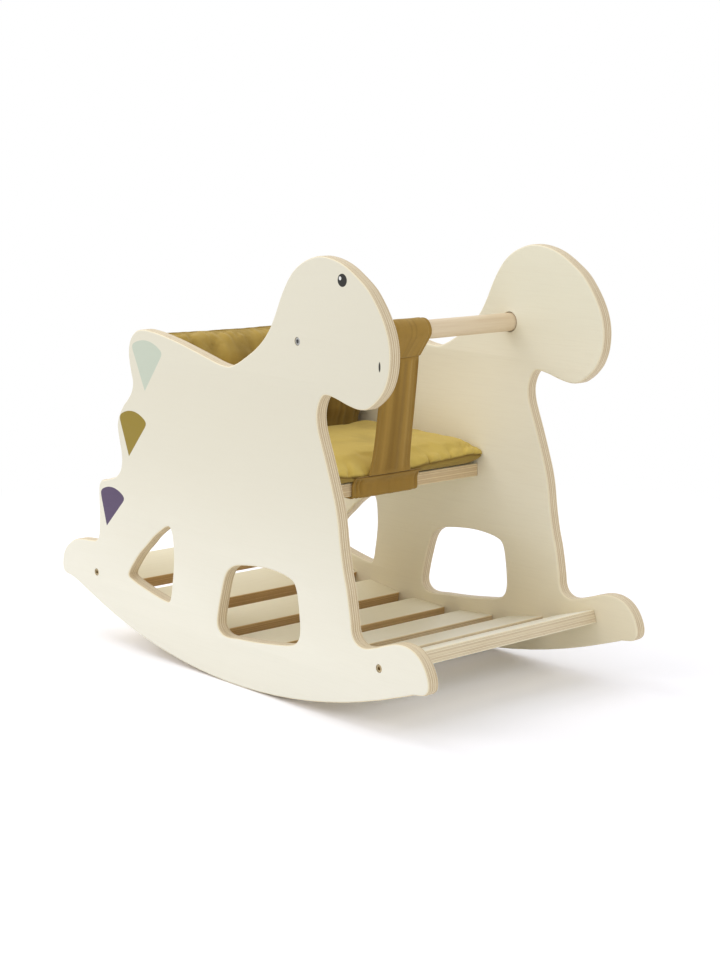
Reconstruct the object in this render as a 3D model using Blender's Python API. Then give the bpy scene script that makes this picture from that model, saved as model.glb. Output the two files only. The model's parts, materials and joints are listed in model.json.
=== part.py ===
# A toddler's rocking dinosaur: two plywood side panels joined by slats, a padded seat and a handlebar.
# Lengths are in metres and +Z is up. The dinosaur looks along +X and its right side is at -Y. The origin
# is on the floor under the middle of the toy. The toy rests on the lowest flat of its rocker.

import math

import bmesh
import bpy
from mathutils import Matrix, Vector

MM = 0.001

# Plywood, and the gaps between pieces
PLY = 15.0 * MM  # thickness of every board
CLEAR_WIDTH = 298.0 * MM  # between the side panels
RIM_ROUND = 2.5 * MM  # rounding of the panels' rims
BOARD_ROUND = 2.5 * MM  # rounding of the boards' long edges
TOUCH = 0.3 * MM  # left between two pieces that touch

# Rocker
ROCKER_RADIUS = 800.0 * MM
ROCKER_X = 18.0 * MM  # where it meets the floor
ROCKER_STEP = math.radians(2.0)  # one flat of the curve

# Floor slats
SLATS = 7
SLAT_WIDTH = 55.5 * MM
SLAT_RISE = 40.0 * MM  # from the rocker's curve up to a slat's top
SLAT_FIRST = math.radians(17.0)  # front slat's middle, seen from the rocker's centre
SLAT_PITCH = math.radians(6.1)

# Seat
SEAT_FRONT = 82.0 * MM
SEAT_TOP = 222.4 * MM
BACKREST_FACE = -146.5 * MM  # front face of the backrest board
BACKREST_TOP = 366.0 * MM

# Handlebar
BAR_X = 129.5 * MM
BAR_Z = 391.7 * MM
BAR_DIAMETER = 21.0 * MM
BAR_RECESS = 4.0 * MM  # how deep its ends sit in the panels
BAR_PLAY = 0.5 * MM  # round its ends
BAR_SIDES = 32

# Dowel pins
PIN_DIAMETER = 8.0 * MM
PIN_IN_PANEL = 10.0 * MM
PIN_IN_BOARD = 16.0 * MM
PIN_PLAY = 0.2 * MM  # round the pin in its hole
PIN_SPREAD = 28.0 * MM  # between the two pins of a slat
SEAT_PIN_INSET = 45.0 * MM  # from a seat or backrest board's edges
PIN_SIDES = 10

# Screws and the handlebar's inserts
SCREW_DIAMETER = 5.0 * MM
SCREW_LENGTH = 42.0 * MM
SCREW_PLAY = 0.3 * MM
HEAD_DIAMETER = 8.4 * MM
HEAD_HEIGHT = 3.0 * MM
HEAD_SINK = 0.4 * MM  # below the panel's face
SOCKET_WIDTH = 4.0 * MM
SOCKET_DEPTH = 2.2 * MM
INSERT_DIAMETER = 8.0 * MM
INSERT_LENGTH = 13.0 * MM
SCREW_SIDES = 16

# Seat cushion
SEAT_CUSHION_OVERHANG = 8.0 * MM  # beyond the seat board's front edge
SEAT_CUSHION_REAR_HEIGHT = 33.0 * MM
SEAT_CUSHION_FRONT_HEIGHT = 26.0 * MM  # both at its crown
SEAT_SEAM_HEIGHT = 13.0 * MM  # of the seam above the board, at the corners
SEAT_SEAM_DIP = 7.0 * MM  # how far the strap pulls the seam down in front
CUSHION_SIDE_PLAY = 0.6 * MM  # to the panels

# Back cushion
BACK_CUSHION_DEPTH = 37.0 * MM
BACK_CUSHION_TOP = 380.2 * MM
BACK_TOP_SAG = 3.5 * MM  # of its top edge between the corners

# Strap between the rider's legs
CLOTH = 3.2 * MM  # sewn double cloth
SLEEVE_WIDTH = 54.0 * MM
SEAM_DROP = 28.5 * MM  # from the bar's axis to the seam under it
SEAM_BEND = 3.0 * MM  # radius in which the sleeve closes at the seam
STRAP_THICKNESS = 4.4 * MM
STRAP_TOP_WIDTH = 52.0 * MM
STRAP_MIDDLE_WIDTH = 56.0 * MM
STRAP_FOOT_WIDTH = 63.0 * MM
STRAP_LEAN = 12.2 * MM  # how far its top has slid along the bar
TAB_WIDTH = 98.0 * MM
TAB_UNDER = 52.0 * MM  # how far it reaches back under the board

# Sizes that follow from those
INNER = CLEAR_WIDTH / 2
OUTER = INNER + PLY
ROCKER_CENTRE = ROCKER_RADIUS * math.cos(ROCKER_STEP / 2)
SEAT_BOTTOM = SEAT_TOP - PLY
BACKREST_REAR = BACKREST_FACE - PLY
SEAT_REAR = BACKREST_FACE + TOUCH
RIGHT = -1
LEFT = 1
SIDES = (("right", RIGHT), ("left", LEFT))

# Outline of the side panel from the tail's underside over the back and head to the toe's underside,
# read off the photograph in millimetres
TAIL = (
    (-300, 64.5), (-313, 67.4), (-322.5, 68.9), (-327.2, 72.5), (-328.5, 78.5), (-327.6, 87),
    (-324.5, 95.5), (-319.5, 102.2), (-311, 108.6), (-300, 114.3), (-288, 117.2), (-262, 119.4),
    (-253, 120.8), (-248.7, 124.5), (-246.2, 133), (-244.6, 152),
)
SPIKES = (
    (-244, 186), (-242.3, 192), (-238, 196.3), (-230, 198), (-219.5, 200.9), (-209, 204.2),
    (-202.3, 208.9), (-197.4, 215.5), (-195, 224), (-195.2, 233), (-198, 245), (-201, 257),
    (-202.2, 266), (-200.3, 274.5), (-195.8, 282.8), (-188.5, 292), (-178.5, 301.2), (-171.8, 310),
    (-169.2, 319.5), (-172, 331), (-175, 343), (-176.3, 354), (-174.3, 365), (-168.8, 374),
    (-160, 380.2), (-147, 382.9), (-131, 382.2),
)
SADDLE = (
    (-112, 379.8), (-80, 373.9), (-35, 363.5), (-8, 357.1), (3, 355.5), (14, 355.4), (27, 360),
    (43, 368.4), (59, 378.2), (72, 388.7), (83, 401.3), (92, 416.2), (101, 434.2),
)
HEAD = (
    (109, 447.5), (119, 460.2), (131, 469.7), (146, 476.6), (163, 480.7), (177, 480.2), (192, 477.2),
    (206, 472), (222, 462.8), (238, 451.4), (250, 438), (260, 423.3), (267, 408.5), (270.3, 394.5),
    (270.7, 382), (268.5, 368), (262.5, 354), (254, 343.8), (245, 336.7), (236, 331.8), (224, 330.3),
    (207, 333), (190, 337.6),
)
CHEST = (
    (177, 339.9), (169.5, 338.9), (164, 332.4), (159.8, 320), (160.6, 307), (165, 293.5), (173, 273),
    (184, 242.4), (189.3, 226), (193, 209), (195.5, 191), (198, 176), (201.5, 159), (206, 143),
    (209.5, 126), (212.2, 110),
)
TOE = (
    (214, 98), (218.3, 91), (225, 87.3), (234, 86.6), (250, 90.8), (266, 96.3), (281, 100.6),
    (296, 101), (308.5, 97.2), (318.5, 89.3), (325.3, 78.8), (328.5, 68), (327.2, 60.5), (322, 55.8),
    (313, 53.8), (306, 52.8), (300, 50.6),
)

# Cut-outs in the side panel, in millimetres. Their lower edges are given as heights above the rocker.
REAR_HOLE = (
    (-184.6, 92.6), (-172.5, 108), (-161, 120), (-147.5, 131.2), (-135, 142.2), (-121, 151.8),
    (-109.5, 158.6), (-102.4, 160), (-98, 153.6), (-95.9, 143), (-95, 125), (-96.3, 109), (-99.2, 92),
)
REAR_HOLE_SILL = ((-101.5, 71), (-105, 63.2), (-113, 61.5), (-150, 61), (-178, 61.5), (-185.3, 63.2))
FRONT_HOLE = (
    (-13.6, 66), (-11, 80.9), (-6, 98.9), (0, 116.8), (5.3, 126), (12, 131.6), (21, 135.6), (34, 138.2),
    (59, 141.1), (78, 141.9), (96, 140.8), (111, 138.3), (119.8, 134.8), (124, 128.4), (127.2, 114.4),
    (129.2, 99),
)
FRONT_HOLE_SILL = (
    (130, 77), (128, 68), (122.5, 62.2), (112, 59.6), (88, 58.1), (55, 56.2), (23, 54.4), (4, 52.5),
    (-6, 54.2), (-12, 59.3),
)


def clear_scene():
    for thing in list(bpy.data.objects):
        bpy.data.objects.remove(thing, do_unlink=True)


def material(name, colour, roughness, metallic=0.0):
    """One Principled material for each kind of surface."""
    found = bpy.data.materials.get(name)
    if found:
        return found
    made = bpy.data.materials.new(name)
    made.use_nodes = True
    shader = made.node_tree.nodes["Principled BSDF"]
    shader.inputs["Base Color"].default_value = (*colour, 1.0)
    shader.inputs["Roughness"].default_value = roughness
    shader.inputs["Metallic"].default_value = metallic
    made.diffuse_color = (*colour, 1.0)
    return made


def panel_ply():
    return material("panel_ply", (0.79, 0.76, 0.66), 0.55)


def board_ply():
    return material("board_ply", (0.75, 0.62, 0.43), 0.55)


def dowel_wood():
    return material("dowel_wood", (0.72, 0.55, 0.36), 0.55)


def cloth():
    return material("cloth", (0.56, 0.42, 0.11), 0.9)


def screw_steel():
    return material("screw_steel", (0.45, 0.43, 0.38), 0.35, 1.0)


def brass():
    return material("brass", (0.75, 0.6, 0.3), 0.35, 1.0)


def add_object(name, mesh, finish, smooth_angle=35.0):
    """Put a mesh in the scene under its node's name, shaded smooth over its gentle edges."""
    mesh.name = name
    thing = bpy.data.objects.new(name, mesh)
    bpy.context.collection.objects.link(thing)
    mesh.materials.clear()
    mesh.materials.append(finish)
    mesh.shade_smooth()
    mesh.set_sharp_from_angle(angle=math.radians(smooth_angle))
    return thing


def mesh_from(tool, name):
    """Turn a bmesh into a mesh whose faces all point out."""
    bmesh.ops.recalc_face_normals(tool, faces=tool.faces)
    mesh = bpy.data.meshes.new(name)
    tool.to_mesh(mesh)
    tool.free()
    return mesh


def rocker_height(x):
    """Height of the rocker's lower edge at x."""
    across = x - ROCKER_X
    return ROCKER_CENTRE - math.sqrt(ROCKER_RADIUS**2 - across**2)


def curve_through(points, closed):
    """A dense smooth curve through the points. An open one leaves out its first and last span."""
    count = len(points)
    spans = range(count) if closed else range(1, count - 2)
    steps = 10
    dense = []
    for i in spans:
        corners = [Vector(points[(i + k) % count]) for k in (-1, 0, 1, 2)]
        dense += [spline_point(corners, step / steps) for step in range(steps)]
    if not closed:
        dense.append(Vector(points[count - 2]))
    return dense


def spline_point(corners, share):
    """Point on a centripetal spline between its second and third corner."""
    a, b, c, d = corners
    first = math.sqrt((b - a).length)
    second = first + math.sqrt((c - b).length)
    third = second + math.sqrt((d - c).length)
    at = first + (second - first) * share
    ab = a.lerp(b, at / first)
    bc = b.lerp(c, (at - first) / (second - first))
    cd = c.lerp(d, (at - second) / (third - second))
    early = ab.lerp(bc, at / second)
    late = bc.lerp(cd, (at - first) / (third - first))
    return early.lerp(late, (at - first) / (second - first))


def thinned(points, closed, flatness, turn):
    """Keep only the points that the curve needs: few where it is flat, more where it turns."""
    kept = [points[0]]
    start = 0
    last = len(points) if closed else len(points) - 1
    for end in range(2, last + 1):
        a = points[start]
        b = points[end % len(points)]
        chord = b - a
        sag = 0.0
        for between in points[start + 1:end]:
            offset = between - a
            sag = max(sag, abs(chord.cross(offset)) / max(chord.length, 1e-9))
        first = points[start + 1] - a
        final = b - points[end - 1]
        if sag > flatness or first.angle(final, 0.0) > turn:
            start = end - 1
            kept.append(points[start])
    if not closed:
        kept.append(points[-1])
    return kept


def in_metres(points):
    return [(x * MM, z * MM) for x, z in points]


def on_rocker(points):
    """Points given by their height above the rocker's curve."""
    return [(x * MM, rocker_height(x * MM) + rise * MM) for x, rise in points]


def panel_outline():
    """The whole outer edge of a side panel: the drawn edge, then the rocker's flats back to the tail."""
    drawn = in_metres(TAIL + SPIKES + SADDLE + HEAD + CHEST + TOE)
    tail_join = drawn[0][0]
    toe_join = drawn[-1][0]
    flats = []
    most = int(math.radians(60.0) / ROCKER_STEP)
    for k in range(most, -most - 1, -1):
        angle = (k + 0.5) * ROCKER_STEP
        x = ROCKER_X + ROCKER_RADIUS * math.sin(angle)
        room = ROCKER_RADIUS * ROCKER_STEP
        if tail_join + room < x < toe_join - room:
            flats.append((x, ROCKER_CENTRE - ROCKER_RADIUS * math.cos(angle)))
    drawn = [flats[-1]] + drawn + [flats[0]]
    dense = curve_through([flats[-2]] + drawn + [flats[1]], closed=False)
    shaped = thinned(dense, False, flatness=0.15 * MM, turn=math.radians(14.0))
    return shaped + [Vector(p) for p in flats[1:-1]]


def panel_hole(upper, sill):
    dense = curve_through(in_metres(upper) + on_rocker(sill), closed=True)
    return thinned(dense, True, flatness=0.15 * MM, turn=math.radians(16.0))


def plate(name, rings):
    """An upright sheet of plywood along the XZ plane, with holes and rounded rims, centred on y = 0."""
    curve = bpy.data.curves.new(name, "CURVE")
    curve.dimensions = "2D"
    curve.fill_mode = "BOTH"
    curve.extrude = PLY / 2 - RIM_ROUND
    curve.bevel_depth = RIM_ROUND
    curve.bevel_resolution = 1
    curve.offset = -RIM_ROUND
    for ring in rings:
        spline = curve.splines.new("POLY")
        spline.points.add(len(ring) - 1)
        for point, corner in zip(spline.points, ring):
            point.co = (corner[0], corner[1], 0.0, 1.0)
        spline.use_cyclic_u = True
    drawn = bpy.data.objects.new(name, curve)
    bpy.context.collection.objects.link(drawn)
    depsgraph = bpy.context.evaluated_depsgraph_get()
    flat = bpy.data.meshes.new_from_object(drawn.evaluated_get(depsgraph))
    bpy.data.objects.remove(drawn, do_unlink=True)
    tool = bmesh.new()
    tool.from_mesh(flat)
    bpy.data.meshes.remove(flat)
    bmesh.ops.remove_doubles(tool, verts=tool.verts, dist=0.002 * MM)
    bmesh.ops.transform(tool, matrix=Matrix.Rotation(math.pi / 2, 4, "X"), verts=tool.verts)
    return mesh_from(tool, name)


def add_turned(tool, steps, sides, x=0.0, z=0.0):
    """Add a body turned about a line along Y through (x, z) to a bmesh. steps are its (y, radius) corners."""
    rings = []
    for y, radius in steps:
        ring = []
        for k in range(sides):
            angle = 2 * math.pi * (k + 0.5) / sides
            ring.append(tool.verts.new((x + radius * math.cos(angle), y, z + radius * math.sin(angle))))
        rings.append(ring)
    for a, b in zip(rings, rings[1:]):
        for k in range(sides):
            after = (k + 1) % sides
            tool.faces.new((a[k], a[after], b[after], b[k]))
    tool.faces.new(rings[0])
    tool.faces.new(rings[-1])


def drill(piece, bores):
    """Cut bores along Y out of a piece with a Boolean. Each bore is (x, z, steps, sides)."""
    tool = bmesh.new()
    for x, z, steps, sides in bores:
        add_turned(tool, steps, sides, x, z)
    mesh = mesh_from(tool, piece.name + "_cutter")
    cutter = bpy.data.objects.new(mesh.name, mesh)
    bpy.context.collection.objects.link(cutter)
    cutter.hide_render = True
    cutter.display_type = "WIRE"
    cut = piece.modifiers.new("bores", "BOOLEAN")
    cut.operation = "DIFFERENCE"
    cut.solver = "EXACT"
    cut.object = cutter


def board(name, width, thickness, finish):
    """A board with rounded long edges, lying along Y between the panels, its top face at local z = 0."""
    length = CLEAR_WIDTH - 2 * TOUCH
    section = []
    corners = ((1, 0, 90), (1, -1, 0), (-1, -1, -90), (-1, 0, 180))
    for side, level, start in corners:
        x = side * (width / 2 - BOARD_ROUND)
        z = level * thickness + (BOARD_ROUND if level else -BOARD_ROUND)
        for k in range(3):
            angle = math.radians(start - 45 * k)
            section.append((x + BOARD_ROUND * math.cos(angle), z + BOARD_ROUND * math.sin(angle)))
    tool = bmesh.new()
    ends = []
    for y in (-length / 2, length / 2):
        ends.append([tool.verts.new((x, y, z)) for x, z in section])
    count = len(section)
    for k in range(count):
        after = (k + 1) % count
        tool.faces.new((ends[0][k], ends[0][after], ends[1][after], ends[1][k]))
    tool.faces.new(ends[0])
    tool.faces.new(ends[1])
    return add_object(name, mesh_from(tool, name), finish)


def pin_bores(x, z):
    """Blind bores for one pin position at both panels: those in the board, and the one in each panel."""
    radius = PIN_DIAMETER / 2 + PIN_PLAY
    in_board = []
    in_panel = {}
    for word, side in SIDES:
        mouth = side * (INNER + MM)
        floor = side * (INNER - PIN_IN_BOARD - TOUCH)
        in_board.append((x, z, ((mouth, radius), (floor, radius)), PIN_SIDES))
        mouth = side * (INNER - MM)
        floor = side * (INNER + PIN_IN_PANEL + TOUCH)
        in_panel[word] = (x, z, ((mouth, radius), (floor, radius)), PIN_SIDES)
    return in_board, in_panel


def add_pin(name, x, z, side):
    tool = bmesh.new()
    half = (PIN_IN_BOARD + PIN_IN_PANEL) / 2
    add_turned(tool, ((-half, PIN_DIAMETER / 2), (half, PIN_DIAMETER / 2)), PIN_SIDES)
    pin = add_object(name, mesh_from(tool, name), dowel_wood())
    pin.location = (x, side * (INNER - PIN_IN_BOARD + half), z)


def screw_bore_in_panel(x, z, side):
    """Stepped bore through a panel for a screw and its sunk head."""
    head = HEAD_DIAMETER / 2 + SCREW_PLAY
    shank = SCREW_DIAMETER / 2 + SCREW_PLAY
    step = side * (OUTER - HEAD_SINK - HEAD_HEIGHT - TOUCH)
    return x, z, ((side * (OUTER + MM), head), (step, head), (step, shank), (side * (INNER - MM), shank)), SCREW_SIDES


def screw_bore_in_slat(x, z, side):
    radius = SCREW_DIAMETER / 2 + PIN_PLAY
    tip = side * (OUTER - HEAD_SINK - SCREW_LENGTH - MM)
    return x, z, ((side * (INNER + MM), radius), (tip, radius)), SCREW_SIDES


def add_screw(name, x, z, side):
    """A screw with a round head and a hexagon socket, its head sunk in the panel's outer face."""
    head = HEAD_DIAMETER / 2
    shank = SCREW_DIAMETER / 2
    steps = (
        (0.0, head),
        (-HEAD_HEIGHT, head),
        (-HEAD_HEIGHT, shank),
        (shank - SCREW_LENGTH, shank),
        (-SCREW_LENGTH, shank / 4),
    )
    tool = bmesh.new()
    add_turned(tool, [(side * y, radius) for y, radius in steps], SCREW_SIDES)
    screw = add_object(name, mesh_from(tool, name), screw_steel())
    top = side * (OUTER - HEAD_SINK)
    screw.location = (x, top, z)
    socket = SOCKET_WIDTH / 2 / math.cos(math.pi / 6)
    drill(screw, [(x, z, ((top + side * MM, socket), (top - side * SOCKET_DEPTH, socket)), 6)])


def slat_frame(k):
    """Middle of slat k's top face, and its tilt."""
    angle = SLAT_FIRST - k * SLAT_PITCH
    radius = ROCKER_RADIUS - SLAT_RISE
    x = ROCKER_X + radius * math.sin(angle)
    z = ROCKER_CENTRE - radius * math.cos(angle)
    return x, z, angle


def slat_spot(k, along):
    """A point in the middle of slat k's thickness, a distance forward from its middle."""
    x, z, angle = slat_frame(k)
    half = PLY / 2
    return x + along * math.cos(angle) + half * math.sin(angle), z + along * math.sin(angle) - half * math.cos(angle)


def build_slats(panel_bores):
    """The floor slats with their pins, and the screws of the first and last one."""
    for k in range(SLATS):
        name = f"floor_slat_{k + 1}"
        x, z, angle = slat_frame(k)
        slat = board(name, SLAT_WIDTH, PLY, board_ply())
        slat.location = (x, 0, z)
        slat.rotation_euler = (0, -angle, 0)
        first = k == 0
        last = k == SLATS - 1
        bores = []
        for place, along in (("front", PIN_SPREAD / 2), ("rear", -PIN_SPREAD / 2)):
            spot_x, spot_z = slat_spot(k, along)
            screwed = (first and place == "front") or (last and place == "rear")
            if screwed:
                for word, side in SIDES:
                    panel_bores[word].append(screw_bore_in_panel(spot_x, spot_z, side))
                    bores.append(screw_bore_in_slat(spot_x, spot_z, side))
                    add_screw(f"{place}_slat_screw_{word}", spot_x, spot_z, side)
                continue
            held, in_panel = pin_bores(spot_x, spot_z)
            bores += held
            for word, side in SIDES:
                panel_bores[word].append(in_panel[word])
                add_pin(f"slat_{k + 1}_{place}_pin_{word}", spot_x, spot_z, side)
        drill(slat, bores)


def build_seat_boards(panel_bores):
    """The seat board and the backrest board behind it, each held by two pins at either end."""
    depth = SEAT_FRONT - SEAT_REAR
    seat = board("seat_board", depth, PLY, board_ply())
    seat.location = ((SEAT_FRONT + SEAT_REAR) / 2, 0, SEAT_TOP)
    height = BACKREST_TOP - SEAT_BOTTOM
    backrest = board("backrest_board", height, PLY, board_ply())
    backrest.location = (BACKREST_FACE, 0, (BACKREST_TOP + SEAT_BOTTOM) / 2)
    backrest.rotation_euler = (0, math.pi / 2, 0)
    seat_middle = SEAT_TOP - PLY / 2
    back_middle = BACKREST_FACE - PLY / 2
    places = (
        (seat, "seat_front", SEAT_FRONT - SEAT_PIN_INSET, seat_middle),
        (seat, "seat_rear", SEAT_REAR + SEAT_PIN_INSET, seat_middle),
        (backrest, "backrest_lower", back_middle, SEAT_BOTTOM + SEAT_PIN_INSET),
        (backrest, "backrest_upper", back_middle, BACKREST_TOP - SEAT_PIN_INSET),
    )
    bores = {seat.name: [], backrest.name: []}
    for piece, name, x, z in places:
        held, in_panel = pin_bores(x, z)
        bores[piece.name] += held
        for word, side in SIDES:
            panel_bores[word].append(in_panel[word])
            add_pin(f"{name}_pin_{word}", x, z, side)
    drill(seat, bores[seat.name])
    drill(backrest, bores[backrest.name])


def handlebar_bore_in_panel(side):
    """A shallow seat for the handlebar's end in the inner face, then the screw's bore."""
    seat = BAR_DIAMETER / 2 + BAR_PLAY
    _, _, screw_steps, sides = screw_bore_in_panel(BAR_X, BAR_Z, side)
    shank = screw_steps[-1][1]
    floor = side * (INNER + BAR_RECESS)
    steps = (*screw_steps[:-1], (floor, shank), (floor, seat), (side * (INNER - MM), seat))
    return BAR_X, BAR_Z, steps, sides


def build_handlebar(panel_bores):
    """The round bar, its ends let into the panels, with a threaded insert and a screw in each end."""
    half = INNER + BAR_RECESS - TOUCH
    tool = bmesh.new()
    add_turned(tool, ((-half, BAR_DIAMETER / 2), (half, BAR_DIAMETER / 2)), BAR_SIDES)
    bar = add_object("handlebar", mesh_from(tool, "handlebar"), dowel_wood())
    bar.location = (BAR_X, 0, BAR_Z)
    around_insert = INSERT_DIAMETER / 2 + PIN_PLAY
    around_screw = SCREW_DIAMETER / 2 + PIN_PLAY
    bores = []
    for word, side in SIDES:
        step = side * (half - INSERT_LENGTH - TOUCH)
        tip = side * (OUTER - HEAD_SINK - SCREW_LENGTH - MM)
        mouth = side * (half + MM)
        steps = ((mouth, around_insert), (step, around_insert), (step, around_screw), (tip, around_screw))
        bores.append((BAR_X, BAR_Z, steps, SCREW_SIDES))
        panel_bores[word].append(handlebar_bore_in_panel(side))
        add_insert(f"handlebar_insert_{word}", side * half)
        add_screw(f"handlebar_screw_{word}", BAR_X, BAR_Z, side)
    drill(bar, bores)


def add_insert(name, bar_end):
    """A threaded brass insert, flush with the handlebar's end."""
    inner = math.copysign(abs(bar_end) - INSERT_LENGTH, bar_end)
    tool = bmesh.new()
    add_turned(tool, ((bar_end, INSERT_DIAMETER / 2), (inner, INSERT_DIAMETER / 2)), SCREW_SIDES)
    insert = add_object(name, mesh_from(tool, name), brass())
    insert.location = (BAR_X, 0, BAR_Z)
    through = SCREW_DIAMETER / 2 + PIN_PLAY
    past = math.copysign(MM, bar_end)
    drill(insert, [(BAR_X, BAR_Z, ((bar_end + past, through), (inner - past, through)), SCREW_SIDES)])


def bulge(at, sharpness, fullness):
    """How full a cushion is at a place from -1 to 1 across it: 1 in the middle, 0 at its seam."""
    return max(0.0, 1 - abs(at) ** sharpness) ** fullness


def pillow(name, columns, rows, place, finish):
    """A closed cushion of two skins that meet at their seam. place(u, v, skin) gives its points."""
    tool = bmesh.new()
    skins = []
    rim = {}
    for skin in (1, -1):
        grid = []
        for i in range(columns + 1):
            line = []
            for j in range(rows + 1):
                u = math.sin(math.pi / 2 * (2 * i / columns - 1))
                v = math.sin(math.pi / 2 * (2 * j / rows - 1))
                at_rim = i in (0, columns) or j in (0, rows)
                if at_rim and (i, j) in rim:
                    line.append(rim[i, j])
                    continue
                vert = tool.verts.new(place(u, v, skin))
                if at_rim:
                    rim[i, j] = vert
                line.append(vert)
            grid.append(line)
        skins.append(grid)
    for grid in skins:
        for i in range(columns):
            for j in range(rows):
                tool.faces.new((grid[i][j], grid[i + 1][j], grid[i + 1][j + 1], grid[i][j + 1]))
    return add_object(name, mesh_from(tool, name), finish, 60.0)


def seat_cushion_point(u, v, skin):
    """u runs forward and v to the left. The back cushion presses its rear edge up, and the strap pulls the
    front seam down in the middle."""
    floor = SEAT_TOP + TOUCH
    rear = BACKREST_FACE + BACK_CUSHION_DEPTH + 2 * TOUCH
    front = SEAT_FRONT + SEAT_CUSHION_OVERHANG
    half_depth = (front - rear) / 2
    drawn_in = 3.0 * MM * (1 - v * v) * max(0.0, u) ** 3
    x = (front + rear) / 2 + half_depth * u - drawn_in
    y = (INNER - CUSHION_SIDE_PLAY) * v
    dip = SEAT_SEAM_DIP * max(0.0, u) ** 3 * bulge(v, 2.0, 1.0)
    seam = floor + SEAT_SEAM_HEIGHT - dip
    if skin > 0:
        share = (u + 1) / 2
        height = SEAT_CUSHION_REAR_HEIGHT * (1 - share) + SEAT_CUSHION_FRONT_HEIGHT * share
        along = bulge(u, 4.0, 0.5) if u > 0 else bulge(u, 12.0, 0.5)
        return x, y, seam + (floor + height - seam) * along * bulge(v, 8.0, 0.42)
    return x, y, seam + (floor - seam) * bulge(u, 14.0, 0.7) * bulge(v, 14.0, 0.7)


def back_cushion_point(u, v, skin):
    """u runs up and v to the left. The cushion hangs in front of the backrest board."""
    rear = BACKREST_FACE + TOUCH
    seam = rear + BACK_CUSHION_DEPTH * 0.45
    low = SEAT_TOP + 2 * TOUCH
    half_height = (BACK_CUSHION_TOP - low) / 2
    drawn_in = BACK_TOP_SAG * (1 - v * v) * max(0.0, u) ** 3
    z = (BACK_CUSHION_TOP + low) / 2 + half_height * u - drawn_in
    y = (INNER - CUSHION_SIDE_PLAY) * v
    if skin > 0:
        face = BACKREST_FACE + BACK_CUSHION_DEPTH
        return seam + (face - seam) * bulge(u, 4.0, 0.5) * bulge(v, 8.0, 0.42), y, z
    return seam + (rear - seam) * bulge(u, 10.0, 0.6) * bulge(v, 14.0, 0.7), y, z


def ribbon(name, stations, closed, finish, thin_edge):
    """A strip of cloth through stations. Each is its middle (x, y, z), its outward normal (x, z), half its
    width and half its thickness."""
    across = (-1.0, -0.86, -0.45, 0.0, 0.45, 0.86, 1.0)
    tool = bmesh.new()
    rings = []
    for middle, normal, half_width, half_thick in stations:
        outer = []
        inner = []
        for w in across:
            thick = half_thick * (thin_edge + (1 - thin_edge) * math.sqrt(1 - w**4))
            x, y, z = middle
            outer.append(tool.verts.new((x + normal[0] * thick, y + w * half_width, z + normal[1] * thick)))
            inner.append(tool.verts.new((x - normal[0] * thick, y + w * half_width, z - normal[1] * thick)))
        rings.append(outer + inner[::-1])
    count = len(rings[0])
    pairs = list(zip(rings, rings[1:]))
    if closed:
        pairs.append((rings[-1], rings[0]))
    for a, b in pairs:
        for k in range(count):
            after = (k + 1) % count
            tool.faces.new((a[k], a[after], b[after], b[k]))
    if not closed:
        tool.faces.new(rings[0])
        tool.faces.new(rings[-1])
    return add_object(name, mesh_from(tool, name), finish, 50.0)


def strap_line():
    """Where the strap runs: from the bar's axis to the seat cushion's front seam, with its unit direction."""
    foot = Vector((SEAT_FRONT + SEAT_CUSHION_OVERHANG + 1.6 * MM, SEAT_TOP + 7.0 * MM))
    bar = Vector((BAR_X, BAR_Z))
    return bar, foot, (foot - bar).normalized()


def build_sleeve():
    """The wide loop round the handlebar, gathered into the seam under it."""
    bar, _, down = strap_line()
    seam = bar + down * SEAM_DROP
    big = BAR_DIAMETER / 2 + TOUCH + CLOTH / 2
    centre = seam - down * SEAM_BEND
    apart = (centre - bar).length
    lean = math.acos((big - SEAM_BEND) / apart)
    heading = math.atan2(down.y, down.x)
    stations = []
    loops = (
        (bar, big, heading + lean, heading + 2 * math.pi - lean, 20),
        (centre, SEAM_BEND, heading - lean, heading + lean, 6),
    )
    for middle, radius, start, end, steps in loops:
        for k in range(steps + 1):
            angle = start + (end - start) * k / steps
            normal = (math.cos(angle), math.sin(angle))
            x = middle.x + radius * normal[0]
            z = middle.y + radius * normal[1]
            drop = (Vector((x, z)) - bar).dot(down) / SEAM_DROP
            gather = min(1.0, max(0.0, (drop - 0.35) / 0.65)) ** 1.3
            half_width = (SLEEVE_WIDTH + (STRAP_TOP_WIDTH - SLEEVE_WIDTH) * gather) / 2
            stations.append(((x, -STRAP_LEAN, z), normal, half_width, CLOTH / 2))
    return ribbon("strap_sleeve", stations, True, cloth(), 0.5)


def build_strap():
    """The padded strap from the sleeve's seam down to the front seam of the seat cushion."""
    bar, foot, down = strap_line()
    top = bar + down * (SEAM_DROP + CLOTH / 2 + TOUCH)
    normal = (-down.y, down.x)
    stations = []
    steps = 12
    for k in range(steps + 1):
        share = k / steps
        at = top.lerp(foot, share)
        width = STRAP_TOP_WIDTH + (STRAP_MIDDLE_WIDTH - STRAP_TOP_WIDTH) * share
        width += (STRAP_FOOT_WIDTH - STRAP_MIDDLE_WIDTH) * share**8
        lean = -STRAP_LEAN * (1 - share) ** 1.3
        stations.append(((at.x, lean, at.y), normal, width / 2, STRAP_THICKNESS / 2))
    return ribbon("leg_strap", stations, False, cloth(), 0.45)


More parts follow.
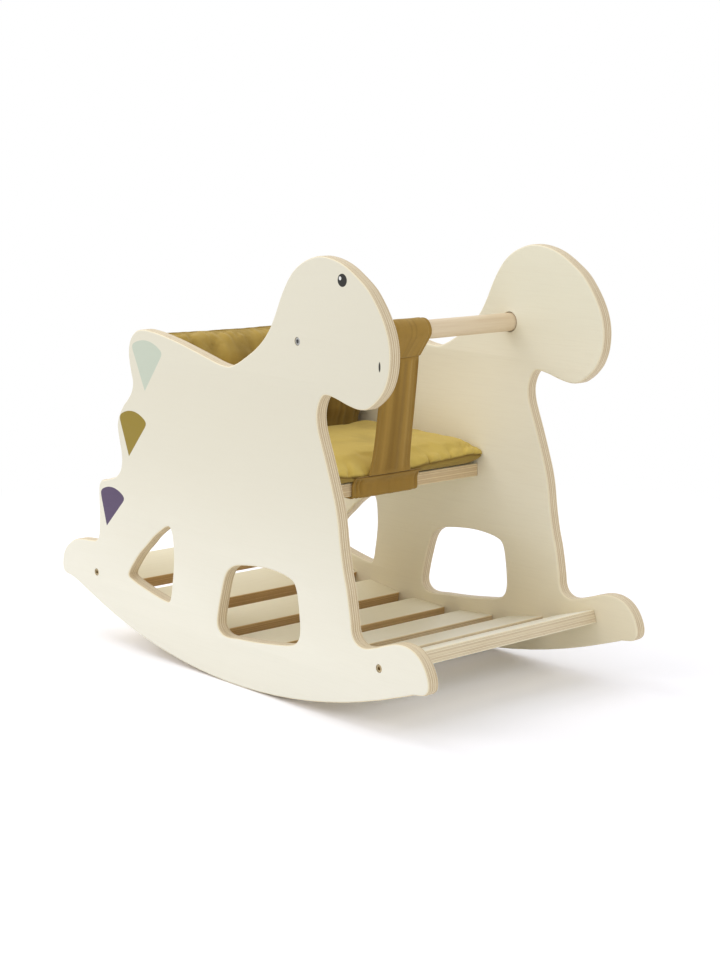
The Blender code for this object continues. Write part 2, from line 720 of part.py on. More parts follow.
def build_tab():
    """The wide tab that starts at the seam and wraps round the front of the seat board and under it."""
    _, foot, down = strap_line()
    start = foot + down * TOUCH
    face = SEAT_FRONT + TOUCH + CLOTH / 2
    under = SEAT_BOTTOM - TOUCH - CLOTH / 2
    bend = 3.0 * MM
    path = [(start.x, start.y), (face + 2.4 * MM, SEAT_TOP + 1.5 * MM), (face + 0.2 * MM, SEAT_TOP - 3.0 * MM)]
    path.append((face, under + bend))
    for k in range(1, 4):
        angle = math.radians(-30 * k)
        path.append((face - bend + bend * math.cos(angle), under + bend + bend * math.sin(angle)))
    path.append((SEAT_FRONT - TAB_UNDER, under))
    stations = []
    for k, (x, z) in enumerate(path):
        before = Vector(path[max(0, k - 1)])
        after = Vector(path[min(len(path) - 1, k + 1)])
        along = down if k == 0 else (after - before).normalized()
        stations.append(((x, 0, z), (-along.y, along.x), TAB_WIDTH / 2, CLOTH / 2))
    return ribbon("strap_tab", stations, False, cloth(), 0.7)


def build_panels(panel_bores):
    rings = [panel_outline(), panel_hole(REAR_HOLE, REAR_HOLE_SILL), panel_hole(FRONT_HOLE, FRONT_HOLE_SILL)]
    for word, side in SIDES:
        name = f"{word}_side_panel"
        panel = add_object(name, plate(name, rings), panel_ply())
        panel.location = (0, side * (INNER + PLY / 2), 0)
        drill(panel, panel_bores[word])


def main():
    clear_scene()
    panel_bores = {"right": [], "left": []}
    build_slats(panel_bores)
    build_seat_boards(panel_bores)
    build_handlebar(panel_bores)
    build_panels(panel_bores)
    pillow("seat_cushion", 18, 20, seat_cushion_point, cloth())
    pillow("back_cushion", 16, 20, back_cushion_point, cloth())
    build_sleeve()
    build_strap()
    build_tab()


main()
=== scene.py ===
# How the rocking dinosaur looks: birch plywood, mustard cloth, flat prints and screws, with camera and light.
# Lengths are in metres and +Z is up. The dinosaur looks along +X and its right side is at -Y.

import json
import math

import bmesh
import bpy
from mathutils import Matrix, Vector, noise

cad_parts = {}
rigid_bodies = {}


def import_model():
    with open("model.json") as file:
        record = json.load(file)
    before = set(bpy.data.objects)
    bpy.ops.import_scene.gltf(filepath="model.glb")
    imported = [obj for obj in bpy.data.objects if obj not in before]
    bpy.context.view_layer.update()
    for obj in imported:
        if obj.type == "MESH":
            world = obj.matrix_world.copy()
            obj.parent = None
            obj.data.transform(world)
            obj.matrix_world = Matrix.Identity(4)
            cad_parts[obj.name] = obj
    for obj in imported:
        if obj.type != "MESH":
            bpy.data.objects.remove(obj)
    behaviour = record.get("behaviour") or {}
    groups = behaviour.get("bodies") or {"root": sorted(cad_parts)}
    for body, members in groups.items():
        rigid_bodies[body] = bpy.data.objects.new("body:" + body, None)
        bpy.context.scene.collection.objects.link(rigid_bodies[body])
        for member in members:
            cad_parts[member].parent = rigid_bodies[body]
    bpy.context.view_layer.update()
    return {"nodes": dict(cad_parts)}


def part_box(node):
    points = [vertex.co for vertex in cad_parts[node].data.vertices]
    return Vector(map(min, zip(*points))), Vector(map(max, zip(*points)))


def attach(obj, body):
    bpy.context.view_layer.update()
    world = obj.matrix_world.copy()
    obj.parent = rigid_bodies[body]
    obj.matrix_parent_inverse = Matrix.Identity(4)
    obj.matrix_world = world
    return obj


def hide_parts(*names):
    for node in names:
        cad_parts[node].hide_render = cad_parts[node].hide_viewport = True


for left_over in list(bpy.data.objects):
    bpy.data.objects.remove(left_over, do_unlink=True)

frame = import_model()


MM = 0.001

# Plywood
PLY = 15.0 * MM
PLY_LAYERS = 11
INNER = 149.0 * MM  # from the middle to a side panel's inner face
OUTER = INNER + PLY
TOUCH = 0.3 * MM
RIM_ROUND = 2.5 * MM
RIM_STEPS = 4
EDGE_ROUND = 1.2 * MM
END_CHAMFER = 0.8 * MM

# Rocker
ROCKER_RADIUS = 800.0 * MM
ROCKER_X = 18.0 * MM
ROCKER_STEP = math.radians(2.0)
ROCKER_CENTRE = ROCKER_RADIUS * math.cos(ROCKER_STEP / 2)

# Floor slats
SLATS = 7
SLAT_WIDTH = 55.5 * MM
SLAT_RISE = 40.0 * MM
SLAT_FIRST = math.radians(17.0)
SLAT_PITCH = math.radians(6.1)
# Painted shade on each slat, deepest for the slats under the seat.
SLAT_PAINTED_SHADE = (0.0, 0.15, 0.35, 0.8, 1.0, 1.0, 0.9)  # from the front slat to the rear one

# Seat and backrest
SEAT_FRONT = 82.0 * MM
SEAT_TOP = 222.4 * MM
SEAT_BOTTOM = SEAT_TOP - PLY
BACKREST_FACE = -146.5 * MM
BACKREST_TOP = 366.0 * MM
# Painted shade on the seat and backrest boards.
BOARD_PAINTED_SHADE = 0.35  # of the seat and backrest boards

# Handlebar and screws
BAR_X = 129.5 * MM
BAR_Z = 391.7 * MM
BAR_DIAMETER = 21.0 * MM
BAR_END = INNER + 3.7 * MM
BAR_SEAT = INNER + 4.0 * MM  # the recess in each panel for the bar's end
BAR_PLAY = 1.2 * MM
PIN_PLAY = 0.2 * MM
SCREW_PLAY = 0.3 * MM
HEAD_DIAMETER = 8.4 * MM
HEAD_HEIGHT = 3.0 * MM
HEAD_SINK = 0.4 * MM
HEAD_BEVEL = 0.5 * MM
SCREW_DIAMETER = 5.0 * MM
SCREW_LENGTH = 42.0 * MM
SOCKET_WIDTH = 4.0 * MM
SOCKET_DEPTH = 2.2 * MM
INSERT_BORE = 4.2 * MM  # half its width
INSERT_DEPTH = 13.3 * MM
TIP_BORE = 2.7 * MM  # half the width of the narrow bore for the screw's tip

# Cushions
SEAT_OVERHANG = 8.0 * MM
SEAT_SEAM = 13.0 * MM  # height of the seam over the board
SEAT_HEIGHTS = (32.5, 27.0)  # at the rear and the front, in millimetres
BACK_CUSHION_DEPTH = 37.0 * MM
BACK_CUSHION_TOP = 378.8 * MM
CUSHION_HALF_WIDTH = INNER - 0.6 * MM
BACK_SWELL = 5.0 * MM  # how far the back cushion hangs over the seat cushion
SEAM_SINK = 2.8 * MM
DRAWN_IN = 2.5 * MM  # how far the middle of a free edge is pulled in
LEAST_GAP = 0.2 * MM
PUFF_GRID = (40, 60)
PUFF_FRAMES = 20
PUFF_PRESSURE = 3.0
PUFF_SLACK = 0.03

# Strap between the rider's legs
CLOTH = 3.2 * MM
SLEEVE_WIDTH = 54.0 * MM
SEAM_DROP = 28.5 * MM
SEAM_BEND = 3.0 * MM
SEAM_TUCK = 1.3 * MM  # how far the strap's sewn end reaches into the sleeve's fold
STRAP_THICKNESS = 4.4 * MM
STRAP_TOP_WIDTH = 52.0 * MM
STRAP_MIDDLE_WIDTH = 56.0 * MM
STRAP_FOOT_WIDTH = 63.0 * MM
STRAP_LEAN = 12.2 * MM
END_ROUND = 1.4 * MM
CALM_END = 7.0 * MM  # the folds die out this near to a sewn end
TAB_WIDTH = 98.0 * MM
TAB_UNDER = 52.0 * MM

# Camera and light
CAMERA_PLACE = (1.6322, -1.4068, 0.6017)
CAMERA_AHEAD = (-0.73692, 0.65178, -0.17925)
CAMERA_LENS = 71.2
LAMP_SIZE = 1.4
SKY_GLOW = 0.86
FLOOR_RADIUS = 4.0
FLOOR_GAP = 0.0002  # under the rocker
FLOOR_LIT = (0.90, 0.90, 0.89)
FLOOR_SEEN = (1.10, 1.095, 1.14)

SIDES = (("right", -1), ("left", 1))

# Outline of a side panel and its two cut-outs, in millimetres
TAIL = (
    (-300, 64.5), (-313, 67.4), (-322.5, 68.9), (-327.2, 72.5), (-328.5, 78.5), (-327.6, 87),
    (-324.5, 95.5), (-319.5, 102.2), (-311, 108.6), (-300, 114.3), (-288, 117.2), (-262, 119.4),
    (-253, 120.8), (-248.7, 124.5), (-246.2, 133), (-244.6, 152),
)
SPIKES = (
    (-244, 186), (-242.3, 192), (-238, 196.3), (-230, 198), (-219.5, 200.9), (-209, 204.2),
    (-202.3, 208.9), (-197.4, 215.5), (-195, 224), (-195.2, 233), (-198, 245), (-201, 257),
    (-202.2, 266), (-200.3, 274.5), (-195.8, 282.8), (-188.5, 292), (-178.5, 301.2), (-171.8, 310),
    (-169.2, 319.5), (-172, 331), (-175, 343), (-176.3, 354), (-174.3, 365), (-168.8, 374),
    (-160, 380.2), (-147, 382.9), (-131, 382.2),
)
SADDLE = (
    (-112, 379.8), (-80, 373.9), (-35, 363.5), (-8, 357.1), (3, 355.5), (14, 355.4), (27, 360),
    (43, 368.4), (59, 378.2), (72, 388.7), (83, 401.3), (92, 416.2), (101, 434.2),
)
HEAD = (
    (109, 447.5), (119, 460.2), (131, 469.7), (146, 476.6), (163, 480.7), (177, 480.2), (192, 477.2),
    (206, 472), (222, 462.8), (238, 451.4), (250, 438), (260, 423.3), (267, 408.5), (270.3, 394.5),
    (270.7, 382), (268.5, 368), (262.5, 354), (254, 343.8), (245, 336.7), (236, 331.8), (224, 330.3),
    (207, 333), (190, 337.6),
)
CHEST = (
    (177, 339.9), (169.5, 338.9), (164, 332.4), (159.8, 320), (160.6, 307), (165, 293.5), (173, 273),
    (184, 242.4), (189.3, 226), (193, 209), (195.5, 191), (198, 176), (201.5, 159), (206, 143),
    (209.5, 126), (212.2, 110),
)
TOE = (
    (214, 98), (218.3, 91), (225, 87.3), (234, 86.6), (250, 90.8), (266, 96.3), (281, 100.6),
    (296, 101), (308.5, 97.2), (318.5, 89.3), (325.3, 78.8), (328.5, 68), (327.2, 60.5), (322, 55.8),
    (313, 53.8), (306, 52.8), (300, 50.6),
)
REAR_HOLE = (
    (-184.6, 92.6), (-172.5, 108), (-161, 120), (-147.5, 131.2), (-135, 142.2), (-121, 151.8),
    (-109.5, 158.6), (-102.4, 160), (-98, 153.6), (-95.9, 143), (-95, 125), (-96.3, 109), (-99.2, 92),
)
REAR_HOLE_SILL = ((-101.5, 71), (-105, 63.2), (-113, 61.5), (-150, 61), (-178, 61.5), (-185.3, 63.2))
FRONT_HOLE = (
    (-13.6, 66), (-11, 80.9), (-6, 98.9), (0, 116.8), (5.3, 126), (12, 131.6), (21, 135.6), (34, 138.2),
    (59, 141.1), (78, 141.9), (96, 140.8), (111, 138.3), (119.8, 134.8), (124, 128.4), (127.2, 114.4),
    (129.2, 99),
)
FRONT_HOLE_SILL = (
    (130, 77), (128, 68), (122.5, 62.2), (112, 59.6), (88, 58.1), (55, 56.2), (23, 54.4), (4, 52.5),
    (-6, 54.2), (-12, 59.3),
)


def set_all(item, **values):
    for key, value in values.items():
        setattr(item, key, value)


def clip(value, low=0.0, high=1.0):
    return min(high, max(low, value))


# Materials


def operator(operation, vectors=False, swapped=False):
    """An arithmetic operator for values that nodes work out."""
    def apply(value, other):
        first, second = (other, value) if swapped else (value, other)
        work = value.shader.vector if vectors else value.shader.math
        return work(operation, first, second)
    return apply


class Number:
    """A number that a material's nodes work out."""

    def __init__(self, shader, socket):
        self.shader = shader
        self.socket = socket

    __add__ = operator("ADD")
    __sub__ = operator("SUBTRACT")
    __rsub__ = operator("SUBTRACT", swapped=True)
    __mul__ = operator("MULTIPLY")
    __truediv__ = operator("DIVIDE")

    def __abs__(self):
        return self.shader.math("ABSOLUTE", self)

    def line(self, slope, start):
        """slope times the number, plus start."""
        return self.shader.math("MULTIPLY_ADD", self, slope, start)


class Arrow(Number):
    """A vector that a material's nodes work out."""

    __add__ = operator("ADD", vectors=True)
    __sub__ = operator("SUBTRACT", vectors=True)
    __mul__ = operator("MULTIPLY", vectors=True)
    dot = operator("DOT_PRODUCT", vectors=True)
    scaled = operator("SCALE", vectors=True)

    def parts(self):
        """Its x, y and z."""
        made = self.shader.node("SeparateXYZ", {0: self}).socket.node
        return [Number(self.shader, output) for output in made.outputs]


class Shader:
    """The node tree of a material or of the sky."""

    def __init__(self, name, library=bpy.data.materials):
        self.owner = library.new(name)
        self.owner.use_nodes = True
        self.tree = self.owner.node_tree

    def feed(self, node, values):
        """Set a node's inputs, or link them to what other nodes work out."""
        for key, value in values.items():
            socket = node.inputs[key]
            if isinstance(value, Number):
                self.tree.links.new(value.socket, socket)
            else:
                socket.default_value = (*value, 1.0) if socket.type == "RGBA" else value

    def node(self, kind, values, output=0, **settings):
        made = self.tree.nodes.new("ShaderNode" + kind)
        set_all(made, **settings)
        self.feed(made, values)
        return Number(self, made.outputs[output])

    def math(self, operation, *values, clamp=False):
        return self.node("Math", dict(enumerate(values)), operation=operation, use_clamp=clamp)

    def vector(self, operation, first, second):
        values = {0: first, 3 if operation == "SCALE" else 1: second}
        if operation == "DOT_PRODUCT":
            return self.node("VectorMath", values, "Value", operation=operation)
        return Arrow(self, self.node("VectorMath", values, operation=operation).socket)

    def mix(self, share, first, second, blend="MIX"):
        return self.node("Mix", {0: share, 6: first, 7: second}, 2, data_type="RGBA", blend_type=blend)

    def noise(self, vector, scale=1.0, detail=2.0, roughness=0.5, output=0):
        values = {"Vector": vector, "Scale": scale, "Detail": detail, "Roughness": roughness}
        return self.node("TexNoise", values, output)

    def grain(self, vector, stretch, detail, roughness=0.5):
        return self.noise(vector * stretch, 1.0, detail, roughness)

    def random(self, number):
        return self.node("TexWhiteNoise", {"W": number}, "Value", noise_dimensions="1D")

    def step(self, value, low, high, first=0.0, second=1.0):
        """Smooth change from first to second as value goes from low to high."""
        values = dict(enumerate((value, low, high, first, second)))
        return self.node("MapRange", values, interpolation_type="SMOOTHSTEP")

    def bump(self, height, distance, strength):
        return self.node("Bump", {"Strength": strength, "Distance": distance, "Height": height})

    def coordinates(self, name):
        return Arrow(self, self.node("TexCoord", {}, name).socket)

    def point(self):
        """The place in millimetres."""
        return self.coordinates("Object").scaled(1 / MM)

    def finish(self, colour, roughness, normal, **plain):
        values = {"Base Color": colour, "Roughness": roughness, "Normal": normal}
        values |= {key.replace("_", " "): value for key, value in plain.items()}
        self.feed(self.tree.nodes["Principled BSDF"], values)
        return self.owner

    def show(self, share, first, second):
        """Put a blend of two shaders in the place of the plain one."""
        output = next(node for node in self.tree.nodes if "Surface" in node.inputs)
        self.tree.nodes.remove(output.inputs["Surface"].links[0].from_node)
        self.feed(output, {"Surface": self.node("MixShader", {0: share, 1: first, 2: second})})


def in_millimetres(shader, place):
    """Coordinates in a board's own frame: x along its grain, y across it and z through its thickness."""
    values = {
        "Vector": shader.coordinates("Object"),
        "Location": place.translation,
        "Rotation": place.to_euler(),
    }
    return shader.vector("SCALE", shader.node("Mapping", values, vector_type="TEXTURE"), 1 / MM)


PALE_VENEER = (0.80, 0.768, 0.652)
WARM_VENEER = (0.92, 0.885, 0.76)
# Painted light: a panel's faces change tone with height. The outer face is lighter low down, where light
# bounces up from the floor. The inner face is warmer and darker low down as painted shade, brightest in the
# middle, and darker again at the top.
OUTER_LOW = (0.88, 0.852, 0.75)  # a panel's outer and inner faces, from the rocker upwards
OUTER_HIGH = (0.742, 0.704, 0.585)
INNER_LOW = (0.86, 0.775, 0.58)
INNER_MIDDLE = (0.92, 0.87, 0.715)
INNER_HIGH = (0.82, 0.785, 0.635)
SIDE_GRAIN = (0.90, 0.82, 0.62)
END_GRAIN = (0.68, 0.545, 0.36)
GLUE = (0.34, 0.205, 0.095)
RIM_TONE = (0.88, 0.785, 0.565)
# Painted shade: a warm tint for boards in shade, and a darker one for their edges.
SHADE_TINT = (0.925, 0.838, 0.625)
EDGE_SHADE_TINT = (0.80, 0.64, 0.44)
OLD_BIRCH = (0.52, 0.36, 0.18)
DOWEL_PALE = (0.78, 0.64, 0.45)
DOWEL_DEEP = (0.68, 0.51, 0.33)
DOWEL_RINGS = (0.82, 0.69, 0.50)
DOWEL_PORES = (0.48, 0.31, 0.17)


def darker(colour, share):
    """A colour some way towards the brown of old birch."""
    return tuple(part + (brown - part) * share for part, brown in zip(colour, OLD_BIRCH))


def ply_core(shader, shift, level, layer, seed, end):
    """The layers between the veneers: their side grain, their whole colour, and where the glue is."""
    pores = shader.grain(shift, (1.1, 1.1, 2.5), 3.0, 0.7)
    streaks = shader.grain(shift, (0.06, 0.9, 1.6), 3.0, 0.65)
    side = shader.mix(shader.step(streaks, 0.35, 0.75), SIDE_GRAIN, darker(SIDE_GRAIN, 0.28))
    cut = shader.mix(shader.step(pores, 0.35, 0.7), END_GRAIN, darker(END_GRAIN, 0.45))
    core = shader.mix(end, side, cut)
    core = shader.mix(shader.random(layer + seed) * 0.5, core, darker(END_GRAIN, 0.6))
    glue = shader.step(abs(shader.math("FRACT", level) - 0.5), 0.30, 0.44)
    bond = shader.random(shader.math("FLOOR", level + 0.5) + (seed + 40.5))
    patchy = shader.step(shader.noise(shift.scaled(0.05)), 0.3, 0.7, 0.6, 1.0)
    patchy = shader.math("MULTIPLY", patchy, bond.line(0.85, 0.2), clamp=True)
    return side, shader.mix(glue * patchy, core, GLUE), glue


def ply_veneer(shader, shift, across, normal, outer_side, fine):
    """The outer layers' faces, with fine grain, broad clouds and flecks. On the panels their tone changes
    with height as painted light.
    """
    broad = shader.grain(shift, (0.006, 0.016, 0.01), 3.0, 0.55)
    flecks = shader.grain(shift, (0.16, 1.3, 0.8), 2.0)
    plain = WARM_VENEER
    figure, clouds, flecked = 0.12, 0.14, 0.22
    if outer_side:
        clouds, flecked = 0.07, 0.10
        outwards = normal.parts()[1] * float(outer_side)
        # Painted light by height: the outer face is lighter low down from the floor's bounce light, and the
        # inner face is warmer and darker low down as painted shade.
        outer = shader.mix(shader.step(across, 20.0, 310.0), OUTER_LOW, OUTER_HIGH)
        inner = shader.mix(shader.step(across, 60.0, 190.0), INNER_LOW, INNER_MIDDLE)
        inner = shader.mix(shader.step(across, 320.0, 440.0), inner, INNER_HIGH)
        plain = shader.mix(shader.step(outwards, -0.2, 0.6), inner, outer)
        figure = shader.step(outwards, -0.2, 0.6, 0.10, 0.05)
    veneer = shader.mix(shader.step(fine, 0.40, 0.80) * figure, plain, darker(PALE_VENEER, 0.5))
    veneer = shader.mix(shader.step(broad, 0.35, 0.75, 0.0, clouds), veneer, darker(PALE_VENEER, 0.3))
    return shader.mix(shader.step(flecks, 0.70, 0.82, 0.0, flecked), veneer, darker(PALE_VENEER, 0.7))


def plywood(name, place, outer_side=0, prints=(), board_shade=0.0):
    """Birch plywood through and through. The outer layers are veneer, whose tone on the panels changes with
    height as painted light, lightest low on the outer faces, and a layer is darker where it shows its end
    grain. The third argument is the side of y of a panel's outer face, prints are (mask, ink) pairs for flat
    ink on that face, and the last argument is how much painted shade darkens and warms the board."""
    shader = Shader(name)
    point = in_millimetres(shader, place)
    _, across, depth = point.parts()
    seed = float(sum(map(ord, name)) % 89)
    shift = point + (seed * 7.3, seed * 3.1, 0.0)
    unevenness = shader.noise(shift.scaled(0.03)).line(0.5, -0.25)
    level = (depth + PLY / MM / 2 + unevenness) / (PLY / MM / PLY_LAYERS)
    level = shader.math("MINIMUM", shader.math("MAXIMUM", level, 0.02), PLY_LAYERS - 0.02)
    layer = shader.math("FLOOR", level)
    odd = shader.math("MODULO", layer, 2.0)
    normal = shader.coordinates("Normal")
    faces_along, faces_across, faces_out = (abs(normal.dot(place.col[k].to_3d())) for k in range(3))
    end = (1.0 - odd) * faces_along + odd * (faces_across * 0.7)
    fine = shader.grain(shift, (0.022, 0.55, 0.3), 5.0, 0.62)
    side, core, glue = ply_core(shader, shift, level, layer, seed, end * end)
    veneer = ply_veneer(shader, shift, across, normal, outer_side, fine)
    skin = shader.mix(shader.step(faces_out, 0.70, 0.97), shader.mix(0.5, side, RIM_TONE), veneer)
    first, last = shader.math("LESS_THAN", layer, 0.5), shader.math("GREATER_THAN", layer, PLY_LAYERS - 1.5)
    colour = shader.mix(shader.math("MAXIMUM", first, last), core, skin)
    # Painted shade: a board in shade is darker and warmer, and its edges most.
    if board_shade:
        colour = shader.mix(0.5 * board_shade, colour, SHADE_TINT, "MULTIPLY")
        edge = shader.step(faces_out, 0.6, 0.95, min(1.0, 1.2 * board_shade), 0.0)
        colour = shader.mix(edge, colour, EDGE_SHADE_TINT, "MULTIPLY")
    rough = fine.line(0.12, 0.42)
    for mask, ink in prints:
        cover = mask(shader)
        colour = shader.mix(cover * 0.98, colour, ink)
        rough = cover.line(-0.06, rough)
    relief = fine * 0.6 + glue * -0.5
    return shader.finish(colour, rough, shader.bump(relief, 0.00010, 0.4), Specular_IOR_Level=0.3)


def outer_only(shader, mask, side):
    """Keep a print to the panel's outer face."""
    y = shader.coordinates("Object").parts()[1]
    return mask * shader.math("GREATER_THAN", y * side, OUTER - MM)


def edge_distance(flat, a, b):
    """Distance in millimetres outside the line from a to b, with the print on its right."""
    run = Vector((b[0] - a[0], b[1] - a[1])).normalized()
    out = (-run.y, 0.0, run.x)
    return flat.dot(out) - (a[0] * out[0] + a[1] * out[2])


def circle_through(a, b, c):
    """Middle and radius of the circle through three points."""
    a, b, c = (Vector(point) for point in (a, b, c))
    to_b, to_c = b - a, c - a
    b_part, c_part = to_b.length_squared, to_c.length_squared
    offset = (to_c.y * b_part - to_b.y * c_part, to_b.x * c_part - to_c.x * b_part)
    middle = a + Vector(offset) / (2 * to_b.cross(to_c))
    return middle, (middle - a).length


def scale_print(side, left, crown, right, tip):
    """A back scale: two nearly straight sides that meet in a tip, and an arc with rounded corners on top."""
    def mask(shader):
        flat = shader.point()
        centre, radius = circle_through(left, crown, right)
        from_centre = (flat - (centre.x, 0.0, centre.y)) * (1.0, 0.0, 1.0)
        top = shader.math("SQRT", from_centre.dot(from_centre)) - radius
        flanks = shader.math("MAXIMUM", edge_distance(flat, tip, left), edge_distance(flat, right, tip))
        outside = shader.math("SMOOTH_MAX", top, flanks, 9.0)
        wobble = shader.noise(flat, 0.25).line(0.3, -0.15)
        return outer_only(shader, shader.step(outside + wobble, -0.18, 0.18, 1.0, 0.0), side)
    return mask


def spot_print(side, x, z, half_width, half_height):
    """A flat oval of ink."""
    def mask(shader):
        squeezed = (shader.point() - (x, 0.0, z)) * (1 / half_width, 0.0, 1 / half_height)
        away = shader.math("SQRT", squeezed.dot(squeezed))
        edge = 0.2 / min(half_width, half_height)
        return outer_only(shader, shader.step(away, 1 - edge, 1 + edge, 1.0, 0.0), side)
    return mask


SCALES = (
    # ink, then left corner, crown, right corner and tip in millimetres
    ((0.541, 0.594, 0.494), (-169.5, 363.5), (-140.5, 370.8), (-108.5, 358.5), (-144.5, 312.6)),
    ((0.275, 0.188, 0.0), (-197.5, 278.5), (-169.5, 286.6), (-141.5, 275.0), (-179, 232.6)),
    ((0.071, 0.038, 0.108), (-240.5, 183.5), (-215.5, 190.9), (-189.0, 180.5), (-228.5, 142.6)),
)
SPOTS = (
    # eye, its highlight and nostril: ink, then middle, half the width and half the height
    ((0.006, 0.006, 0.006), 200.3, 458.4, 7.0, 6.6),
    ((0.80, 0.80, 0.78), 197.0, 460.2, 1.9, 1.9),
    ((0.02, 0.018, 0.016), 256.0, 376.4, 1.4, 5.0),
)


def panel_prints(side):
    """The prints on one panel, as pairs of mask and ink."""
    prints = [(scale_print(side, *corners), ink) for ink, *corners in SCALES]
    return prints + [(spot_print(side, *oval), ink) for ink, *oval in SPOTS]


def dowel(name, axis_place):
    """Round hardwood, sanded and varnished, with grain along the bar."""
    shader = Shader(name)
    point = in_millimetres(shader, axis_place)
    grain = shader.grain(point, (0.018, 0.55, 0.55), 5.0, 0.6)
    rings = shader.grain(point, (0.004, 0.16, 0.16), 2.0)
    pores = shader.grain(point, (0.12, 2.0, 2.0), 2.0)
    colour = shader.mix(shader.step(grain, 0.35, 0.75, 0.0, 0.6), DOWEL_PALE, DOWEL_DEEP)
    colour = shader.mix(shader.step(rings, 0.35, 0.7, 0.0, 0.35), colour, DOWEL_RINGS)
    colour = shader.mix(shader.step(pores, 0.68, 0.8, 0.0, 0.4), colour, DOWEL_PORES)
    relief = shader.bump(grain, 0.0001, 0.4)
    return shader.finish(colour, grain.line(0.12, 0.40), relief, Specular_IOR_Level=0.4)


THREAD_PITCH = 0.62
CLOTH_LIT = (0.63, 0.475, 0.120)
CLOTH_DEEP = (0.47, 0.32, 0.070)
# Painted shade: the strap's and the back cushion's cloth is the seat's mustard cotton, made browner and
# darker for the shade it is in.
SHADED_STRAP_LIGHT = (0.39, 0.237, 0.054)
SHADED_STRAP_DEEP = (0.25, 0.135, 0.028)
SHADED_BACK_LIGHT = (0.37, 0.25, 0.058)
SHADED_BACK_DEEP = (0.26, 0.155, 0.030)


def woven(name, light, deep):
    """Plain-woven cotton. Threads run along whichever two axes the surface faces least. The attribute crease
    says where the cloth is darker, as painted shade in seams, folds and hollows, or lighter, which is below
    0, as painted highlight on bulges; the stitches are lighter too."""
    shader = Shader(name)
    point = shader.point()
    drift = shader.noise(point.scaled(0.02), output="Color")
    bent = point + shader.vector("SCALE", drift, 2.2)
    waves = [shader.math("SINE", part * (math.pi / THREAD_PITCH)) for part in bent.parts()]
    facing = [shader.math("POWER", abs(part), 5.0) for part in shader.coordinates("Normal").parts()]
    total = facing[0] + facing[1] + facing[2]
    weaves = [waves[(k + 1) % 3] * waves[(k + 2) % 3] * (facing[k] / total) for k in range(3)]
    weave = weaves[0] + weaves[1] + weaves[2]
    slubs = shader.grain(point, (0.35, 0.5, 1.4), 3.0, 0.6)
    fade = shader.noise(point, 0.012, 3.0, 0.55)
    fuzz = shader.noise(point, 2.4, 2.0, 0.6)
    colour = shader.mix(shader.step(fade, 0.3, 0.7, 0.0, 0.30), light, deep)
    colour = shader.mix(shader.step(slubs, 0.4, 0.8, 0.0, 0.22), colour, deep)
    colour = shader.mix(shader.step(weave, -0.9, 0.6, 0.34, 0.0), colour, deep)
    crease = shader.node("Attribute", {}, "Fac", attribute_name="crease")
    # Painted shade where the crease value is above 0, and painted highlight where it is below.
    painted_shade_brown = (0.31 * deep[0], 0.245 * deep[1], 0.25 * deep[2])
    colour = shader.mix(shader.math("MULTIPLY", crease, 0.85, clamp=True), colour, painted_shade_brown)
    painted_highlight = shader.math("MULTIPLY", crease, -0.7, clamp=True)
    colour = shader.mix(painted_highlight, colour, tuple(1.45 * part for part in light))
    relief = shader.bump(weave * 0.5 + fuzz * 0.4, 0.00010, 0.55)
    return shader.finish(colour, 0.92, relief, Sheen_Weight=0.25, Sheen_Roughness=0.5,
                         Sheen_Tint=(0.95, 0.85, 0.55), Specular_IOR_Level=0.15)


def metal(name, colour, roughness):
    """Turned metal with fine tool marks and a little tarnish."""
    shader = Shader(name)
    point = shader.point()
    tarnish = shader.step(shader.noise(point, 0.6, 3.0, 0.6), 0.35, 0.75, 0.0, 0.6)
    marks = shader.grain(point, (6.0, 1.0, 6.0), 2.0)
    fold_light = shader.mix(tarnish, colour, tuple(0.55 * part for part in colour))
    return shader.finish(fold_light, marks.line(0.2, roughness), shader.bump(marks, 0.00005, 0.3), Metallic=1.0)


# Shapes


def link(name, data):
    """A new object in the scene."""
    made = bpy.data.objects.new(name, data)
    bpy.context.scene.collection.objects.link(made)
    return made


def mesh_of(name, tool):
    """A bmesh as a mesh."""
    mesh = bpy.data.meshes.new(name)
    tool.to_mesh(mesh)
    tool.free()
    return mesh


def evaluated(piece):
    return piece.evaluated_get(bpy.context.evaluated_depsgraph_get())


def soften(mesh, bend):
    """Shade a mesh smooth, with sharp edges where it bends by more than so many degrees."""
    mesh.shade_smooth()
    mesh.set_sharp_from_angle(angle=math.radians(bend))


def turn(axis, angle=math.pi / 2):
    return Matrix.Rotation(angle, 4, axis)


def add_piece(name, tool, finish, node, bend=35.0, creases=()):
    """Put a bmesh in the scene as the piece that stands for a node. creases has a value for each vertex that
    darkens or lightens its cloth, mostly as painted shade and highlight.
    """
    bmesh.ops.recalc_face_normals(tool, faces=tool.faces)
    mesh = mesh_of(name, tool)
    if creases:
        mesh.attributes.new("crease", "FLOAT", "POINT").data.foreach_set("value", creases)
    mesh.materials.append(finish)
    soften(mesh, bend)
    piece = link(name, mesh)
    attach(piece, "root")
    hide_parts(node)
    return piece


def middle(node):
    low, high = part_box(node)
    return (low + high) / 2


def close_rings(tool, rings, looped=False):
    """Faces from ring to ring of corners. Rings in an open row get a cap at each end."""
    pairs = list(zip(rings, rings[1:]))
    if looped:
        pairs.append((rings[-1], rings[0]))
    count = len(rings[0])
    for a, b in pairs:
        for k in range(count):
            after = (k + 1) % count
            tool.faces.new((a[k], a[after], b[after], b[k]))
    if not looped:
        tool.faces.new(rings[0])
        tool.faces.new(rings[-1])


